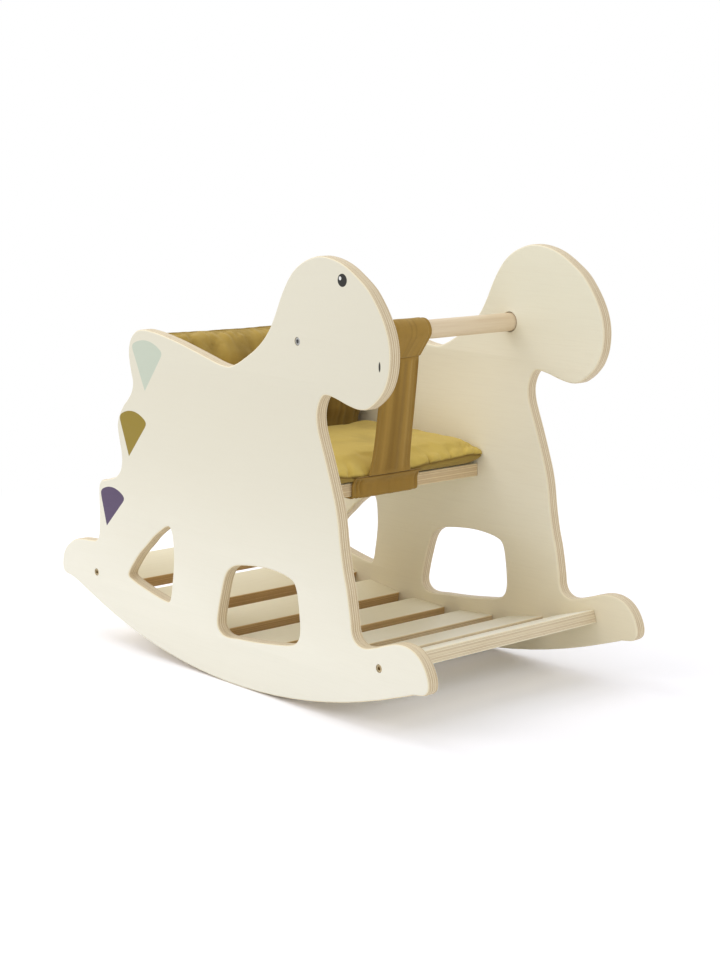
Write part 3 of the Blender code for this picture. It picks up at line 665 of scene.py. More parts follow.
def add_turned(tool, steps, sides, x, z):
    """Add a closed body turned about a line along Y through (x, z). steps are its (y, radius) corners."""
    angles = [2 * math.pi * (k + 0.5) / sides for k in range(sides)]
    rings = []
    for y, radius in steps:
        ring = [(x + radius * math.cos(angle), y, z + radius * math.sin(angle)) for angle in angles]
        rings.append([tool.verts.new(corner) for corner in ring])
    close_rings(tool, rings)


def bore(piece, bores, bend=35.0):
    """Cut round bores along Y out of a piece. Each is (x, z, steps, sides)."""
    tool = bmesh.new()
    for x, z, steps, sides in bores:
        add_turned(tool, steps, sides, x, z)
    bmesh.ops.recalc_face_normals(tool, faces=tool.faces)
    cutter = link("cutter", mesh_of("cutter", tool))
    cut = piece.modifiers.new("bores", "BOOLEAN")
    set_all(cut, operation="DIFFERENCE", solver="EXACT", object=cutter)
    shaped = bpy.data.meshes.new_from_object(evaluated(piece))
    piece.modifiers.remove(cut)
    bpy.data.objects.remove(cutter, do_unlink=True)
    old = piece.data
    piece.data = shaped
    bpy.data.meshes.remove(old)
    shaped.name = piece.name
    soften(shaped, bend)


def rocker_height(x):
    across = x - ROCKER_X
    return ROCKER_CENTRE - math.sqrt(ROCKER_RADIUS**2 - across**2)


def spline_point(corners, share):
    """Point on a centripetal spline between its second and third corner."""
    a, b, c, d = corners
    first = math.sqrt((b - a).length)
    second = first + math.sqrt((c - b).length)
    third = second + math.sqrt((d - c).length)
    at = first + (second - first) * share
    ab = a.lerp(b, at / first)
    bc = b.lerp(c, (at - first) / (second - first))
    cd = c.lerp(d, (at - second) / (third - second))
    early = ab.lerp(bc, at / second)
    late = bc.lerp(cd, (at - first) / (third - first))
    return early.lerp(late, (at - first) / (second - first))


def curve_through(points, closed, steps=8):
    count = len(points)
    spans = range(count) if closed else range(1, count - 2)
    dense = []
    for i in spans:
        corners = [Vector(points[(i + k) % count]) for k in (-1, 0, 1, 2)]
        dense += [spline_point(corners, step / steps) for step in range(steps)]
    if not closed:
        dense.append(Vector(points[count - 2]))
    return dense


def in_metres(points):
    return [(x * MM, z * MM) for x, z in points]


def panel_outline():
    """The outer edge of a side panel: the drawn edge, then the rocker's curve back to the tail."""
    drawn = in_metres(TAIL + SPIKES + SADDLE + HEAD + CHEST + TOE)
    room = ROCKER_RADIUS * ROCKER_STEP
    corners = []
    for k in range(30, -31, -1):
        angle = (k + 0.5) * ROCKER_STEP
        x = ROCKER_X + ROCKER_RADIUS * math.sin(angle)
        if drawn[0][0] + room < x < drawn[-1][0] - room:
            corners.append((x, ROCKER_CENTRE - ROCKER_RADIUS * math.cos(angle)))
    dense = curve_through([corners[-2], corners[-1]] + drawn + [corners[0], corners[1]], closed=False)
    return [tuple(point) for point in dense] + corners[1:-1]


def panel_hole(upper, sill):
    low = [(x * MM, rocker_height(x * MM) + rise * MM) for x, rise in sill]
    return [tuple(point) for point in curve_through(in_metres(upper) + low, closed=True)]


def rounded_sheet(rings):
    """An upright sheet of plywood along the XZ plane with holes and rounded rims, as a bmesh."""
    curve = bpy.data.curves.new("sheet", "CURVE")
    set_all(curve, dimensions="2D", fill_mode="BOTH", extrude=PLY / 2 - RIM_ROUND, bevel_depth=RIM_ROUND,
            bevel_resolution=RIM_STEPS, offset=-RIM_ROUND)
    for ring in rings:
        spline = curve.splines.new("POLY")
        spline.points.add(len(ring) - 1)
        for point, (x, z) in zip(spline.points, ring):
            point.co = (x, z, 0.0, 1.0)
        spline.use_cyclic_u = True
    drawn = link("sheet", curve)
    flat = bpy.data.meshes.new_from_object(evaluated(drawn))
    bpy.data.objects.remove(drawn, do_unlink=True)
    tool = bmesh.new()
    tool.from_mesh(flat)
    bpy.data.meshes.remove(flat)
    bmesh.ops.remove_doubles(tool, verts=tool.verts, dist=0.002 * MM)
    bmesh.ops.transform(tool, matrix=turn("X"), verts=tool.verts)
    return tool


def panel_bores(word, side):
    """Bores of one panel: pins, screws with their heads, and the seat of the handlebar's end."""
    head = HEAD_DIAMETER / 2 + SCREW_PLAY
    shank = SCREW_DIAMETER / 2 + SCREW_PLAY
    seat = BAR_DIAMETER / 2 + BAR_PLAY
    past = side * (OUTER + MM)
    step = side * (OUTER - HEAD_SINK - HEAD_HEIGHT - TOUCH)
    floor = side * BAR_SEAT
    through = side * (INNER - MM)
    sunk = ((past, head), (step, head), (step, shank))
    bores = []
    for node in sorted(frame["nodes"]):
        if not node.endswith(word):
            continue
        at = middle(node)
        if "_pin_" in node:
            low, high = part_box(node)
            end = side * (max(abs(low.y), abs(high.y)) + TOUCH)
            radius = (high.z - low.z) / 2 + PIN_PLAY
            bores.append((at.x, at.z, ((through, radius), (end, radius)), 24))
        elif "slat_screw" in node:
            bores.append((at.x, at.z, (*sunk, (through, shank)), 48))
        elif "handlebar_screw" in node:
            bores.append((at.x, at.z, (*sunk, (floor, shank), (floor, seat), (through, seat)), 64))
    return bores


def build_panels():
    rings = [panel_outline(), panel_hole(REAR_HOLE, REAR_HOLE_SILL), panel_hole(FRONT_HOLE, FRONT_HOLE_SILL)]
    for word, side in SIDES:
        shift = (0, side * (INNER + PLY / 2), 0)
        place = Matrix.Translation(shift) @ turn("X")
        finish = plywood(f"{word}_panel_plywood", place, side, panel_prints(side))
        tool = rounded_sheet(rings)
        bmesh.ops.translate(tool, verts=tool.verts, vec=shift)
        panel = add_piece(f"{word}_panel_shown", tool, finish, f"{word}_side_panel", 30.0)
        bore(panel, panel_bores(word, side), 30.0)


def board_section(width):
    """The corners of a board's section, with rounded edges and its top at 0."""
    section = []
    for side, level, start in ((1, 0, 90), (1, -1, 0), (-1, -1, -90), (-1, 0, 180)):
        x = side * (width / 2 - EDGE_ROUND)
        z = level * PLY + (EDGE_ROUND if level else -EDGE_ROUND)
        for k in range(6):
            angle = math.radians(start - 18 * k)
            section.append((x + EDGE_ROUND * math.cos(angle), z + EDGE_ROUND * math.sin(angle)))
    return section


def build_board(node, width, place, pins, board_shade=BOARD_PAINTED_SHADE):
    """A board along Y between the panels. place puts the middle of its top face."""
    end = INNER - TOUCH
    edge = end - END_CHAMFER
    tool = bmesh.new()
    rings = []
    for y, inset in ((-end, END_CHAMFER), (-edge, 0.0), (edge, 0.0), (end, END_CHAMFER)):
        ring = []
        for x, z in board_section(width):
            centred = Vector((x, z + PLY / 2))
            shrunk = centred * (1 - inset / max(centred.length, 1e-6))
            ring.append(tool.verts.new((shrunk.x, y, shrunk.y - PLY / 2)))
        rings.append(ring)
    close_rings(tool, rings)
    bmesh.ops.transform(tool, matrix=place, verts=tool.verts)
    grain = place @ Matrix.Translation((0, 0, -PLY / 2)) @ turn("Z")
    finish = plywood(f"{node}_plywood", grain, board_shade=board_shade)
    piece = add_piece(f"{node}_shown", tool, finish, node, 30.0)
    bores = []
    for pin in pins:
        low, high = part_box(pin)
        side = 1 if high.y > 0 else -1
        radius = (high.z - low.z) / 2 + PIN_PLAY
        floor = side * (min(abs(low.y), abs(high.y)) - TOUCH)
        steps = ((side * (INNER + MM), radius), (floor, radius))
        bores.append(((low.x + high.x) / 2, (low.z + high.z) / 2, steps, 24))
    bore(piece, bores, 30.0)


def pins_of(*starts):
    """The pins and screws whose names start so."""
    named = [node for node in sorted(frame["nodes"]) if node.startswith(starts)]
    return [node for node in named if "pin" in node or "screw" in node]


def build_boards():
    """The floor slats, which follow the rocker, the seat board and the backrest board."""
    radius = ROCKER_RADIUS - SLAT_RISE
    screws = {0: "front_slat_screw", SLATS - 1: "rear_slat_screw"}
    for k in range(SLATS):
        angle = SLAT_FIRST - k * SLAT_PITCH
        at = (ROCKER_X + radius * math.sin(angle), 0, ROCKER_CENTRE - radius * math.cos(angle))
        pins = pins_of(f"slat_{k + 1}_")
        if k in screws:
            pins += pins_of(screws[k])
        place = Matrix.Translation(at) @ turn("Y", -angle)
        build_board(f"floor_slat_{k + 1}", SLAT_WIDTH, place, pins, SLAT_PAINTED_SHADE[k])
    rear = BACKREST_FACE + TOUCH
    seat = Matrix.Translation(((SEAT_FRONT + rear) / 2, 0, SEAT_TOP))
    build_board("seat_board", SEAT_FRONT - rear, seat, pins_of("seat_"))
    backrest = Matrix.Translation((BACKREST_FACE, 0, (BACKREST_TOP + SEAT_BOTTOM) / 2)) @ turn("Y")
    build_board("backrest_board", BACKREST_TOP - SEAT_BOTTOM, backrest, pins_of("backrest_"))


def build_handlebar():
    """The bar, with the middle of its wood's rings beside its axis and a stepped bore in each end."""
    place = Matrix.Translation((BAR_X + 3 * MM, 0, BAR_Z - 6 * MM)) @ turn("Z")
    radius = BAR_DIAMETER / 2
    steps = [(-BAR_END, radius - END_CHAMFER), (-BAR_END + END_CHAMFER, radius)]
    steps += [(y * BAR_END / 10, radius) for y in range(-9, 10)]
    steps += [(BAR_END - END_CHAMFER, radius), (BAR_END, radius - END_CHAMFER)]
    tool = bmesh.new()
    add_turned(tool, steps, 96, BAR_X, BAR_Z)
    bar = add_piece("handlebar_shown", tool, dowel("handlebar_wood", place), "handlebar")
    bores = []
    for _, side in SIDES:
        mouth = side * (BAR_END + MM)
        step = side * (BAR_END - INSERT_DEPTH)
        tip = side * (OUTER - HEAD_SINK - SCREW_LENGTH - MM)
        steps = ((mouth, INSERT_BORE), (step, INSERT_BORE), (step, TIP_BORE), (tip, TIP_BORE))
        bores.append((BAR_X, BAR_Z, steps, 32))
    bore(bar, bores)


def build_screws():
    """Each screw with a chamfered head, a hexagon socket and a plain shank."""
    slat_metal = metal("slat_screw_metal", (0.50, 0.40, 0.24), 0.32)
    bar_metal = metal("bar_screw_metal", (0.46, 0.46, 0.45), 0.3)
    head = HEAD_DIAMETER / 2
    shank = SCREW_DIAMETER / 2
    socket = SOCKET_WIDTH / 2 / math.cos(math.pi / 6)
    top = OUTER - HEAD_SINK
    under = top - HEAD_HEIGHT
    tip = top - SCREW_LENGTH
    steps = (
        (top, head - HEAD_BEVEL), (top - HEAD_BEVEL * 0.35, head - HEAD_BEVEL * 0.3),
        (top - HEAD_BEVEL, head), (under, head), (under, shank), (tip + shank, shank), (tip, shank / 4),
    )
    for node in sorted(frame["nodes"]):
        if "screw" not in node:
            continue
        side = 1 if node.endswith("left") else -1
        at = middle(node)
        finish, slot = (slat_metal, "slat_screw") if "slat" in node else (bar_metal, "bar_screw")
        tool = bmesh.new()
        add_turned(tool, [(side * y, radius) for y, radius in steps], 48, at.x, at.z)
        screw = add_piece(f"{node}_shown", tool, finish, node)
        bore(screw, [(at.x, at.z, ((side * (top + MM), socket), (side * (top - SOCKET_DEPTH), socket)), 6)])


def finish_hidden_nodes():
    """Wood and brass for the pins and inserts, which sit inside the boards and keep their solids."""
    pin_finish = dowel("pin_wood", turn("Z"))
    insert_finish = metal("insert_brass", (0.75, 0.58, 0.28), 0.3)
    for name, piece in frame["nodes"].items():
        if "_pin_" in name or "insert" in name:
            piece.data.materials.clear()
            piece.data.materials.append(insert_finish if "insert" in name else pin_finish)


# Cushions


def bulge(at, sharpness, fullness):
    """How full a cushion is at a place from -1 to 1 across it: 1 in the middle, 0 at its seam."""
    return max(0.0, 1 - abs(at) ** sharpness) ** fullness


def spread(share, crowding=0.9):
    """From -1 to 1 across a cushion. Rows lie closer together near its seams."""
    even = 2 * share - 1
    return (1 - crowding) * even + crowding * math.sin(math.pi / 2 * even)


def pillow(columns, rows, place):
    """A closed cushion of two skins that meet at their seam, as a bmesh. Also gives each vertex's place as
    (share forward or up, share to the left, skin), where the skin is 0 on the seam."""
    tool = bmesh.new()
    places = []
    verts = {}
    for skin in (1, -1):
        grid = []
        for i in range(columns + 1):
            line = []
            for j in range(rows + 1):
                at = (i / columns, j / rows, 0 if i in (0, columns) or j in (0, rows) else skin)
                if at not in verts:
                    verts[at] = tool.verts.new(place(at[0], at[1], skin))
                    places.append(at)
                line.append(verts[at])
            grid.append(line)
        for i in range(columns):
            for j in range(rows):
                tool.faces.new((grid[i][j], grid[i + 1][j], grid[i + 1][j + 1], grid[i][j + 1]))
    bmesh.ops.recalc_face_normals(tool, faces=tool.faces)
    return tool, places


FRONT_CROWN = 6.5
FRONT_SEAM = (
    # place across the cushion, and height of its front seam over the board in millimetres
    (-1.0, 12.0), (-0.55, 12.0), (-0.40, 7.5), (-0.24, 3.8), (-0.10, 5.0), (0.28, 6.2), (0.42, 9.0),
    (0.65, 10.5), (0.86, 12.5), (1.0, 10.5),
)


def front_seam(v):
    for (before, low), (after, high) in zip(FRONT_SEAM, FRONT_SEAM[1:]):
        if v <= after:
            share = (v - before) / (after - before)
            return (low + (high - low) * share * share * (3 - 2 * share)) * MM
    return FRONT_SEAM[-1][1] * MM


def crowned(along, across):
    """Fullness where two rounded sides meet, with a blunt corner."""
    return 1 - min(1.0, ((1 - along) ** 3 + (1 - across) ** 3) ** (1 / 3))


def drawn_in(u, v):
    """How far a place is pulled in towards the cushion's middle from its free edge."""
    return DRAWN_IN * (1 - v * v) * max(0.0, u) ** 3


def seat_point(s, t, skin):
    """s runs forward and t to the left."""
    u, v = spread(s), spread(t, 0.65)
    floor = SEAT_TOP + TOUCH
    rear = BACKREST_FACE + BACK_CUSHION_DEPTH + 2 * TOUCH
    front = SEAT_FRONT + SEAT_OVERHANG
    corner = 1.5 * MM * max(0.0, u) ** 8 * abs(v) ** 16
    x = (front + rear) / 2 + (front - rear) / 2 * u - drawn_in(u, v) - corner
    y = CUSHION_HALF_WIDTH * v
    seam = floor + SEAT_SEAM + (front_seam(v) - SEAT_SEAM) * max(0.0, u) ** 3
    if skin > 0:
        share = (u + 1) / 2
        height = (SEAT_HEIGHTS[0] * (1 - share) + SEAT_HEIGHTS[1] * share) * MM
        along = bulge(u, FRONT_CROWN, 0.48) if u > 0 else bulge(u, 12.0, 0.5)
        return Vector((x, y, seam + (floor + height - seam) * crowned(along, bulge(v, 15.0, 0.42))))
    return Vector((x, y, seam + (floor - seam) * bulge(u, 20.0, 0.6) * bulge(v, 20.0, 0.6)))


def back_point(s, t, skin):
    """s runs up and t to the left."""
    u, v = spread(s), spread(t, 0.65)
    rear = BACKREST_FACE + TOUCH
    seam = rear + BACK_CUSHION_DEPTH * 0.22
    low = SEAT_TOP + 2 * TOUCH
    z = (BACK_CUSHION_TOP + low) / 2 + (BACK_CUSHION_TOP - low) / 2 * u - drawn_in(u, v)
    y = CUSHION_HALF_WIDTH * v
    if skin > 0:
        above = clip((z - SEAT_TOP - 34.0 * MM) / (18.0 * MM))
        face = BACKREST_FACE + BACK_CUSHION_DEPTH + BACK_SWELL * above * above * (3 - 2 * above)
        return Vector((seam + (face - seam) * bulge(u, 5.0, 0.5) * bulge(v, 10.0, 0.42), y, z))
    return Vector((seam + (rear - seam) * bulge(u, 12.0, 0.6) * bulge(v, 20.0, 0.6), y, z))


def settled(place, most):
    """Blow the upper skin of a coarse cushion up as cloth that is a little larger than its shape. Gives how
    far each place on the cushion moves, which is most at the most."""
    columns, rows = PUFF_GRID
    tool, places = pillow(columns, rows, place)
    mesh = mesh_of("filling", tool)
    trial = link("filling", mesh)
    held = [k for k, (_, _, skin) in enumerate(places) if skin <= 0]
    trial.vertex_groups.new(name="held").add(held, 1.0, "REPLACE")
    cloth = trial.modifiers.new("cloth", "CLOTH")
    set_all(cloth.settings, quality=7, mass=0.2, tension_stiffness=20.0, compression_stiffness=20.0,
            shear_stiffness=8.0, bending_stiffness=0.2, vertex_group_mass="held", use_pressure=True,
            uniform_pressure_force=PUFF_PRESSURE, shrink_min=-PUFF_SLACK)
    cloth.settings.effector_weights.gravity = 0.0
    cloth.collision_settings.use_collision = False
    set_all(cloth.point_cache, frame_start=1, frame_end=PUFF_FRAMES)
    for number in range(1, PUFF_FRAMES + 1):
        bpy.context.scene.frame_set(number)
    moves = {}
    for (s, t, skin), before, after in zip(places, mesh.vertices, evaluated(trial).to_mesh().vertices):
        step = after.co - before.co
        if step.length > most:
            step *= most / step.length
        moves[round(s * columns), round(t * rows), skin] = step
    bpy.context.scene.frame_set(1)
    bpy.data.objects.remove(trial, do_unlink=True)

    def move(s, t, skin):
        i, j = min(int(s * columns), columns - 1), min(int(t * rows), rows - 1)
        a, b = s * columns - i, t * rows - j
        corners = [moves.get((i + p, j + q, skin), Vector()) for p, q in ((0, 0), (1, 0), (0, 1), (1, 1))]
        return corners[0].lerp(corners[1], a).lerp(corners[2].lerp(corners[3], a), b)

    return move


def wander(x, y, seed):
    """A smooth random value from about -1 to 1."""
    return noise.noise(Vector((x, y, seed * 7.31)))


def hump(at, middle, width):
    """A soft hump of height 1 round a middle."""
    return math.exp(-(((at - middle) / width) ** 2))


def pleat(away, depth, width):
    """A narrow fold with a soft shoulder on each side, away millimetres from its line."""
    shoulders = hump(away, 3.2 * width, 2.2 * width) + hump(away, -3.2 * width, 2.2 * width)
    return depth * (0.5 * shoulders - hump(away, 0.0, width))


SEAT_PLEATS = (
    # y of its foot on the front seam, depth, width, length, lean
    (66.0, 6.0, 1.6, 12.0, 0.06), (84.0, 2.4, 2.0, 12.0, 0.10), (99.0, 2.7, 1.7, 14.0, 0.14),
    (119.0, 2.0, 2.0, 12.0, 0.22), (134.0, 1.6, 1.6, 11.0, 0.30), (41.0, 1.2, 2.6, 14.0, 0.0),
    (14.0, 1.2, 2.4, 13.0, 0.0), (-9.0, 1.0, 2.4, 13.0, 0.0), (-33.0, 1.5, 2.2, 16.0, 0.0),
    (-57.0, 2.8, 1.6, 20.0, 0.25), (-79.0, 1.8, 2.2, 16.0, -0.05), (-101.0, 2.2, 1.8, 18.0, -0.20),
    (-121.0, 1.9, 2.0, 20.0, -0.32), (-136.0, 1.5, 1.8, 15.0, -0.45),
)


def seat_relief(s, t, skin, point):
    """Pleats over the front seam, small gathers along the sides and lumps of filling, in millimetres."""
    u, v = spread(s), spread(t, 0.65)
    x, y = point.x / MM, point.y / MM
    from_front = (1 - u) * 100.0 + 20.0 * bulge(u, FRONT_CROWN, 0.48)
    from_side = (1 - abs(v)) * 148.0 + 20.0 * bulge(v, 15.0, 0.42)
    near_seam = min(1.0, from_front / 2.6, from_side / 2.6)
    if skin < 0:
        band = hump((1 - u) * 100.0, 3.0, 4.0)
        return band * (0.7 + 0.5 * wander(y / 9.0, 0.0, 4.0)) * min(1.0, (1 - u) * 200.0)
    amount = 1.6 * hump(from_front, 9.0, 8.0)
    for foot, depth, width, length, lean in SEAT_PLEATS:
        fade = hump(from_front, 0.0, length)
        amount += fade * pleat(y - foot - lean * from_front, depth, width * (1 + from_front / 30.0))
    amount += 0.6 * hump(from_side, 8.0, 9.0) * wander(x / 6.0, y / 60.0, 3.0)
    amount += 1.3 * wander(x / 34.0, y / 30.0, 1.0) + 0.45 * wander(x / 13.0, y / 11.0, 2.0)
    return amount * near_seam - SEAM_SINK / MM * (1 - near_seam)


def back_relief(s, t, skin, point):
    """Gathers along the top roll, soft folds below it, and lumps of filling, in millimetres."""
    u, v = spread(s), spread(t, 0.65)
    y, z = point.y / MM, point.z / MM
    from_top = (1 - u) * 79.0 + 20.0 * bulge(u, 5.0, 0.5)
    from_side = (1 - abs(v)) * 148.0 + 20.0 * bulge(v, 10.0, 0.42)
    near_seam = min(1.0, from_top / 3.0, from_side / 3.0)
    if skin < 0:
        return 0.5 * near_seam * wander(y / 12.0, z / 20.0, 9.0) if from_top < 20.0 else 0.0
    lumps = 2.6 * wander(y / 7.0, from_top / 90.0, 5.0) + 2.2 * wander(y / 19.0, 0.0, 13.0)
    # Painted light follows this relief: the bulging top roll gets painted highlight, and the sunken low front
    # gets painted shade.
    low = clip(1.35 - u * u - abs(u + 0.45))
    amount = hump(from_top, 15.0, 11.0) * (lumps + 2.2)
    amount += 3.2 * hump(from_top, 44.0, 26.0) * wander(y / 11.0 + from_top / 90.0, from_top / 110.0, 6.0)
    amount += 1.3 * hump(from_side, 8.0, 9.0) * wander(z / 6.0, 0.0, 8.0)
    amount += 0.9 * wander(z / 36.0, y / 40.0, 7.0) + low * (2.2 * wander(y / 8.0, z / 70.0, 10.0) - 2.4)
    return amount * near_seam


def build_cushion(node, finish, place, relief, grid, most, seam_shade, lightest, right_side_light):
    """A stuffed cushion between the panels, with a grid of so many cells. Its cloth gets painted light:
    painted shade in its hollows and along its seam, painted highlight on its bulges, and lighter towards the
    right panel."""
    move = settled(place, most)
    tool, places = pillow(*grid, lambda s, t, skin: place(s, t, skin) + move(s, t, skin))
    tool.normal_update()
    tool.verts.ensure_lookup_table()
    normals = [vert.normal.copy() for vert in tool.verts]
    limit = INNER - 2 * LEAST_GAP
    creases = []
    for vert, normal, (s, t, skin) in zip(tool.verts, normals, places):
        amount = relief(s, t, skin, vert.co) if skin else -SEAM_SINK / MM
        vert.co += normal * amount * MM
        # Painted light from the relief: darker in its hollows as painted shade, lighter on its bulges as
        # painted highlight, and lighter towards the right panel.
        relief_light = clip(-0.28 * (amount + 0.4), lightest, 0.9)
        relief_light -= right_side_light * clip((20.0 - vert.co.y / MM) / 70.0)
        # Painted shade along the seam and over the lower skin.
        creases.append({1: relief_light, 0: seam_shade, -1: 0.72 * seam_shade}[skin])
        vert.co.y = clip(vert.co.y, -limit, limit)
        vert.co.x = max(vert.co.x, BACKREST_FACE + LEAST_GAP)
        vert.co.z = max(vert.co.z, SEAT_TOP + LEAST_GAP)
    piece = add_piece(f"{node}_shown", tool, finish, node, 180.0, creases)
    set_all(piece.modifiers.new("smooth", "SUBSURF"), levels=1, render_levels=1)


# Strap


def add_stitch(tool, start, end, out, sideways):
    """A short thread that bulges out of the cloth between its two holes."""
    centre = (start + end) / 2
    tips = [tool.verts.new(start - out * 0.2 * MM), tool.verts.new(end - out * 0.2 * MM)]
    belt = [
        tool.verts.new(centre + out * rise * MM + sideways * wide * MM)
        for rise, wide in ((0.30, 0.0), (0.0, 0.28), (-0.25, 0.0), (0.0, -0.28))
    ]
    for k in range(4):
        for tip in tips:
            tool.faces.new((tip, belt[k], belt[(k + 1) % 4]))
    return len(tips) + len(belt)


def strip_rings(tool, stations, closed, thin_edge, relief, across):
    """Rings of corners round a strip's section at its stations, and its painted light: painted shade in the
    folds' hollows and painted highlight on their ridges. An open strip has rounded ends with painted shade in
    their crease. The painted light runs round each ring while its corners are made in pairs, so the painted
    shade wanders over the folds and doesn't mark the foot of each."""
    run = [0.0]
    for before, after in zip(stations, stations[1:]):
        run.append(run[-1] + (Vector(after[0]) - Vector(before[0])).length)
    fold_light = -0.4 if closed else -0.2
    rings = []
    creases = []
    for place, ((x, y, z), normal, half_width, half_thick) in zip(run, stations):
        to_end = min(place, run[-1] - place)
        from_end = 1.0 if closed else min(1.0, to_end / END_ROUND)
        calm = 1.0 if closed else min(1.0, to_end / CALM_END)
        rounding = max(0.12, math.sqrt(1 - (1 - from_end) ** 2))
        outer = []
        inner = []
        dark = []
        for w in across:
            thick = half_thick * rounding * (thin_edge + (1 - thin_edge) * math.sqrt(max(0.0, 1 - w**4)))
            amount = relief(place / run[-1], w) * calm
            # Painted shade in the crease of a sewn end, and painted light over the folds.
            dark.append(0.85 if from_end < 0.5 else clip(fold_light * amount, -0.3, 0.8))
            lift = amount * MM
            for skin, out in ((outer, thick + lift), (inner, lift * 0.6 - thick)):
                corner = (x + normal[0] * out, y + w * half_width, z + normal[1] * out)
                skin.append(tool.verts.new(corner))
        rings.append(outer + inner[::-1])
        creases += dark + dark[::-1]
    return rings, creases


def strip(node, stations, closed, thin_edge, relief, row, pace, ends):
    """A padded strip of sewn cloth along its stations. A station is its middle, its outward normal, half its
    width and half its thickness. row is the place across it of its two rows of stitches, which are pace
    stations long and leave out some stations at both ends."""
    across = [spread(k / 48, 0.35) for k in range(49)]
    tool = bmesh.new()
    rings, creases = strip_rings(tool, stations, closed, thin_edge, relief, across)
    close_rings(tool, rings, closed)
    left = Vector((0.0, 1.0, 0.0))
    for w in (-row, row):
        column = min(range(len(across)), key=lambda k: abs(across[k] - w))
        for k in range(ends[0], len(rings) - ends[1] - pace, 2 * pace):
            normal = stations[k][1]
            out = Vector((normal[0], 0.0, normal[1]))
            count = add_stitch(tool, rings[k][column].co.copy(), rings[k + pace][column].co.copy(), out, left)
            creases += [-0.35] * count
    piece = add_piece(f"{node}_shown", tool, SHADED_STRAP_FINISH, node, 60.0, creases)


def along_path(path, spacing):
    """Points at an even spacing on a smooth curve through the path."""
    first, last = Vector(path[0]), Vector(path[-1])
    ends = [2 * first - Vector(path[1])] + [Vector(point) for point in path] + [2 * last - Vector(path[-2])]
    dense = curve_through(ends, closed=False, steps=24)
    even = [dense[0]]
    for point in dense[1:-1]:
        if (point - even[-1]).length >= spacing:
            even.append(point)
    return even + [dense[-1]]


def strap_line():
    foot = Vector((SEAT_FRONT + 9.6 * MM, SEAT_TOP + 7.0 * MM))
    bar = Vector((BAR_X, BAR_Z))
    return bar, foot, (foot - bar).normalized()


def build_sleeve():
    """The loop round the handlebar, gathered into the seam under it."""
    bar, _, down = strap_line()
    big = BAR_DIAMETER / 2 + TOUCH + CLOTH / 2
    centre = bar + down * SEAM_DROP - down * SEAM_BEND
    lean = math.acos((big - SEAM_BEND) / (centre - bar).length)
    heading = math.atan2(down.y, down.x)
    loops = (
        (bar, big, heading + lean, heading + 2 * math.pi - lean, 72),
        (centre, SEAM_BEND, heading - lean, heading + lean, 14),
    )
    stations = []
    drops = []
    for around, radius, start, end, steps in loops:
        for k in range(steps + 1):
            angle = start + (end - start) * k / steps
            normal = (math.cos(angle), math.sin(angle))
            x = around.x + radius * normal[0]
            z = around.y + radius * normal[1]
            drop = (Vector((x, z)) - bar).dot(down) / SEAM_DROP
            gather = clip((drop - 0.35) / 0.65) ** 1.3
            half_width = (SLEEVE_WIDTH + (STRAP_TOP_WIDTH - SLEEVE_WIDTH) * gather) / 2
            stations.append(((x, -STRAP_LEAN, z), normal, half_width, CLOTH / 2))
            drops.append(drop)

    def relief(share, w):
        drop = drops[round(share * (len(stations) - 1))]
        near = clip((drop - 0.1) / 0.8) * (1 - clip((drop - 0.80) / 0.17))
        gathers = 3.4 * wander(w * 6.0 + drop * 2.6, drop, 11.0) + 0.4
        hem = hump(abs(w), 0.86, 0.045)
        return near * gathers + 0.35 * wander(w * 3, share * 9, 12.0) - 0.8 * hem * (1 - near)

    strip("strap_sleeve", stations, True, 0.5, relief, 0.86, 2, (1, 15))


def build_strap():
    """The strap from the sleeve's seam down to the seat, wider towards its foot."""
    bar, foot, down = strap_line()
    top = bar + down * (SEAM_DROP + CLOTH / 2 - SEAM_TUCK)
    normal = (-down.y, down.x)
    stations = []
    steps = 120
    for k in range(steps + 1):
        share = k / steps
        at = top.lerp(foot, share)
        width = STRAP_TOP_WIDTH + (STRAP_MIDDLE_WIDTH - STRAP_TOP_WIDTH) * share
        width += (STRAP_FOOT_WIDTH - STRAP_MIDDLE_WIDTH) * share**8
        lean = -STRAP_LEAN * (1 - share) ** 1.3
        stations.append(((at.x, lean, at.y), normal, width / 2, STRAP_THICKNESS / 2))

    def relief(share, w):
        ends = hump(share, 0.0, 0.22) + 0.8 * hump(1 - share, 0.0, 0.2)
        ridges = 2.5 * wander(w * 2.3, share * 0.8, 21.0) + 0.7 * wander(w * 5.5, share * 1.4, 22.0)
        return ridges * (0.7 + 0.3 * ends) - 0.35 * hump(abs(w), 0.84, 0.05)

    strip("leg_strap", stations, False, 0.3, relief, 0.86, 1, (4, 4))


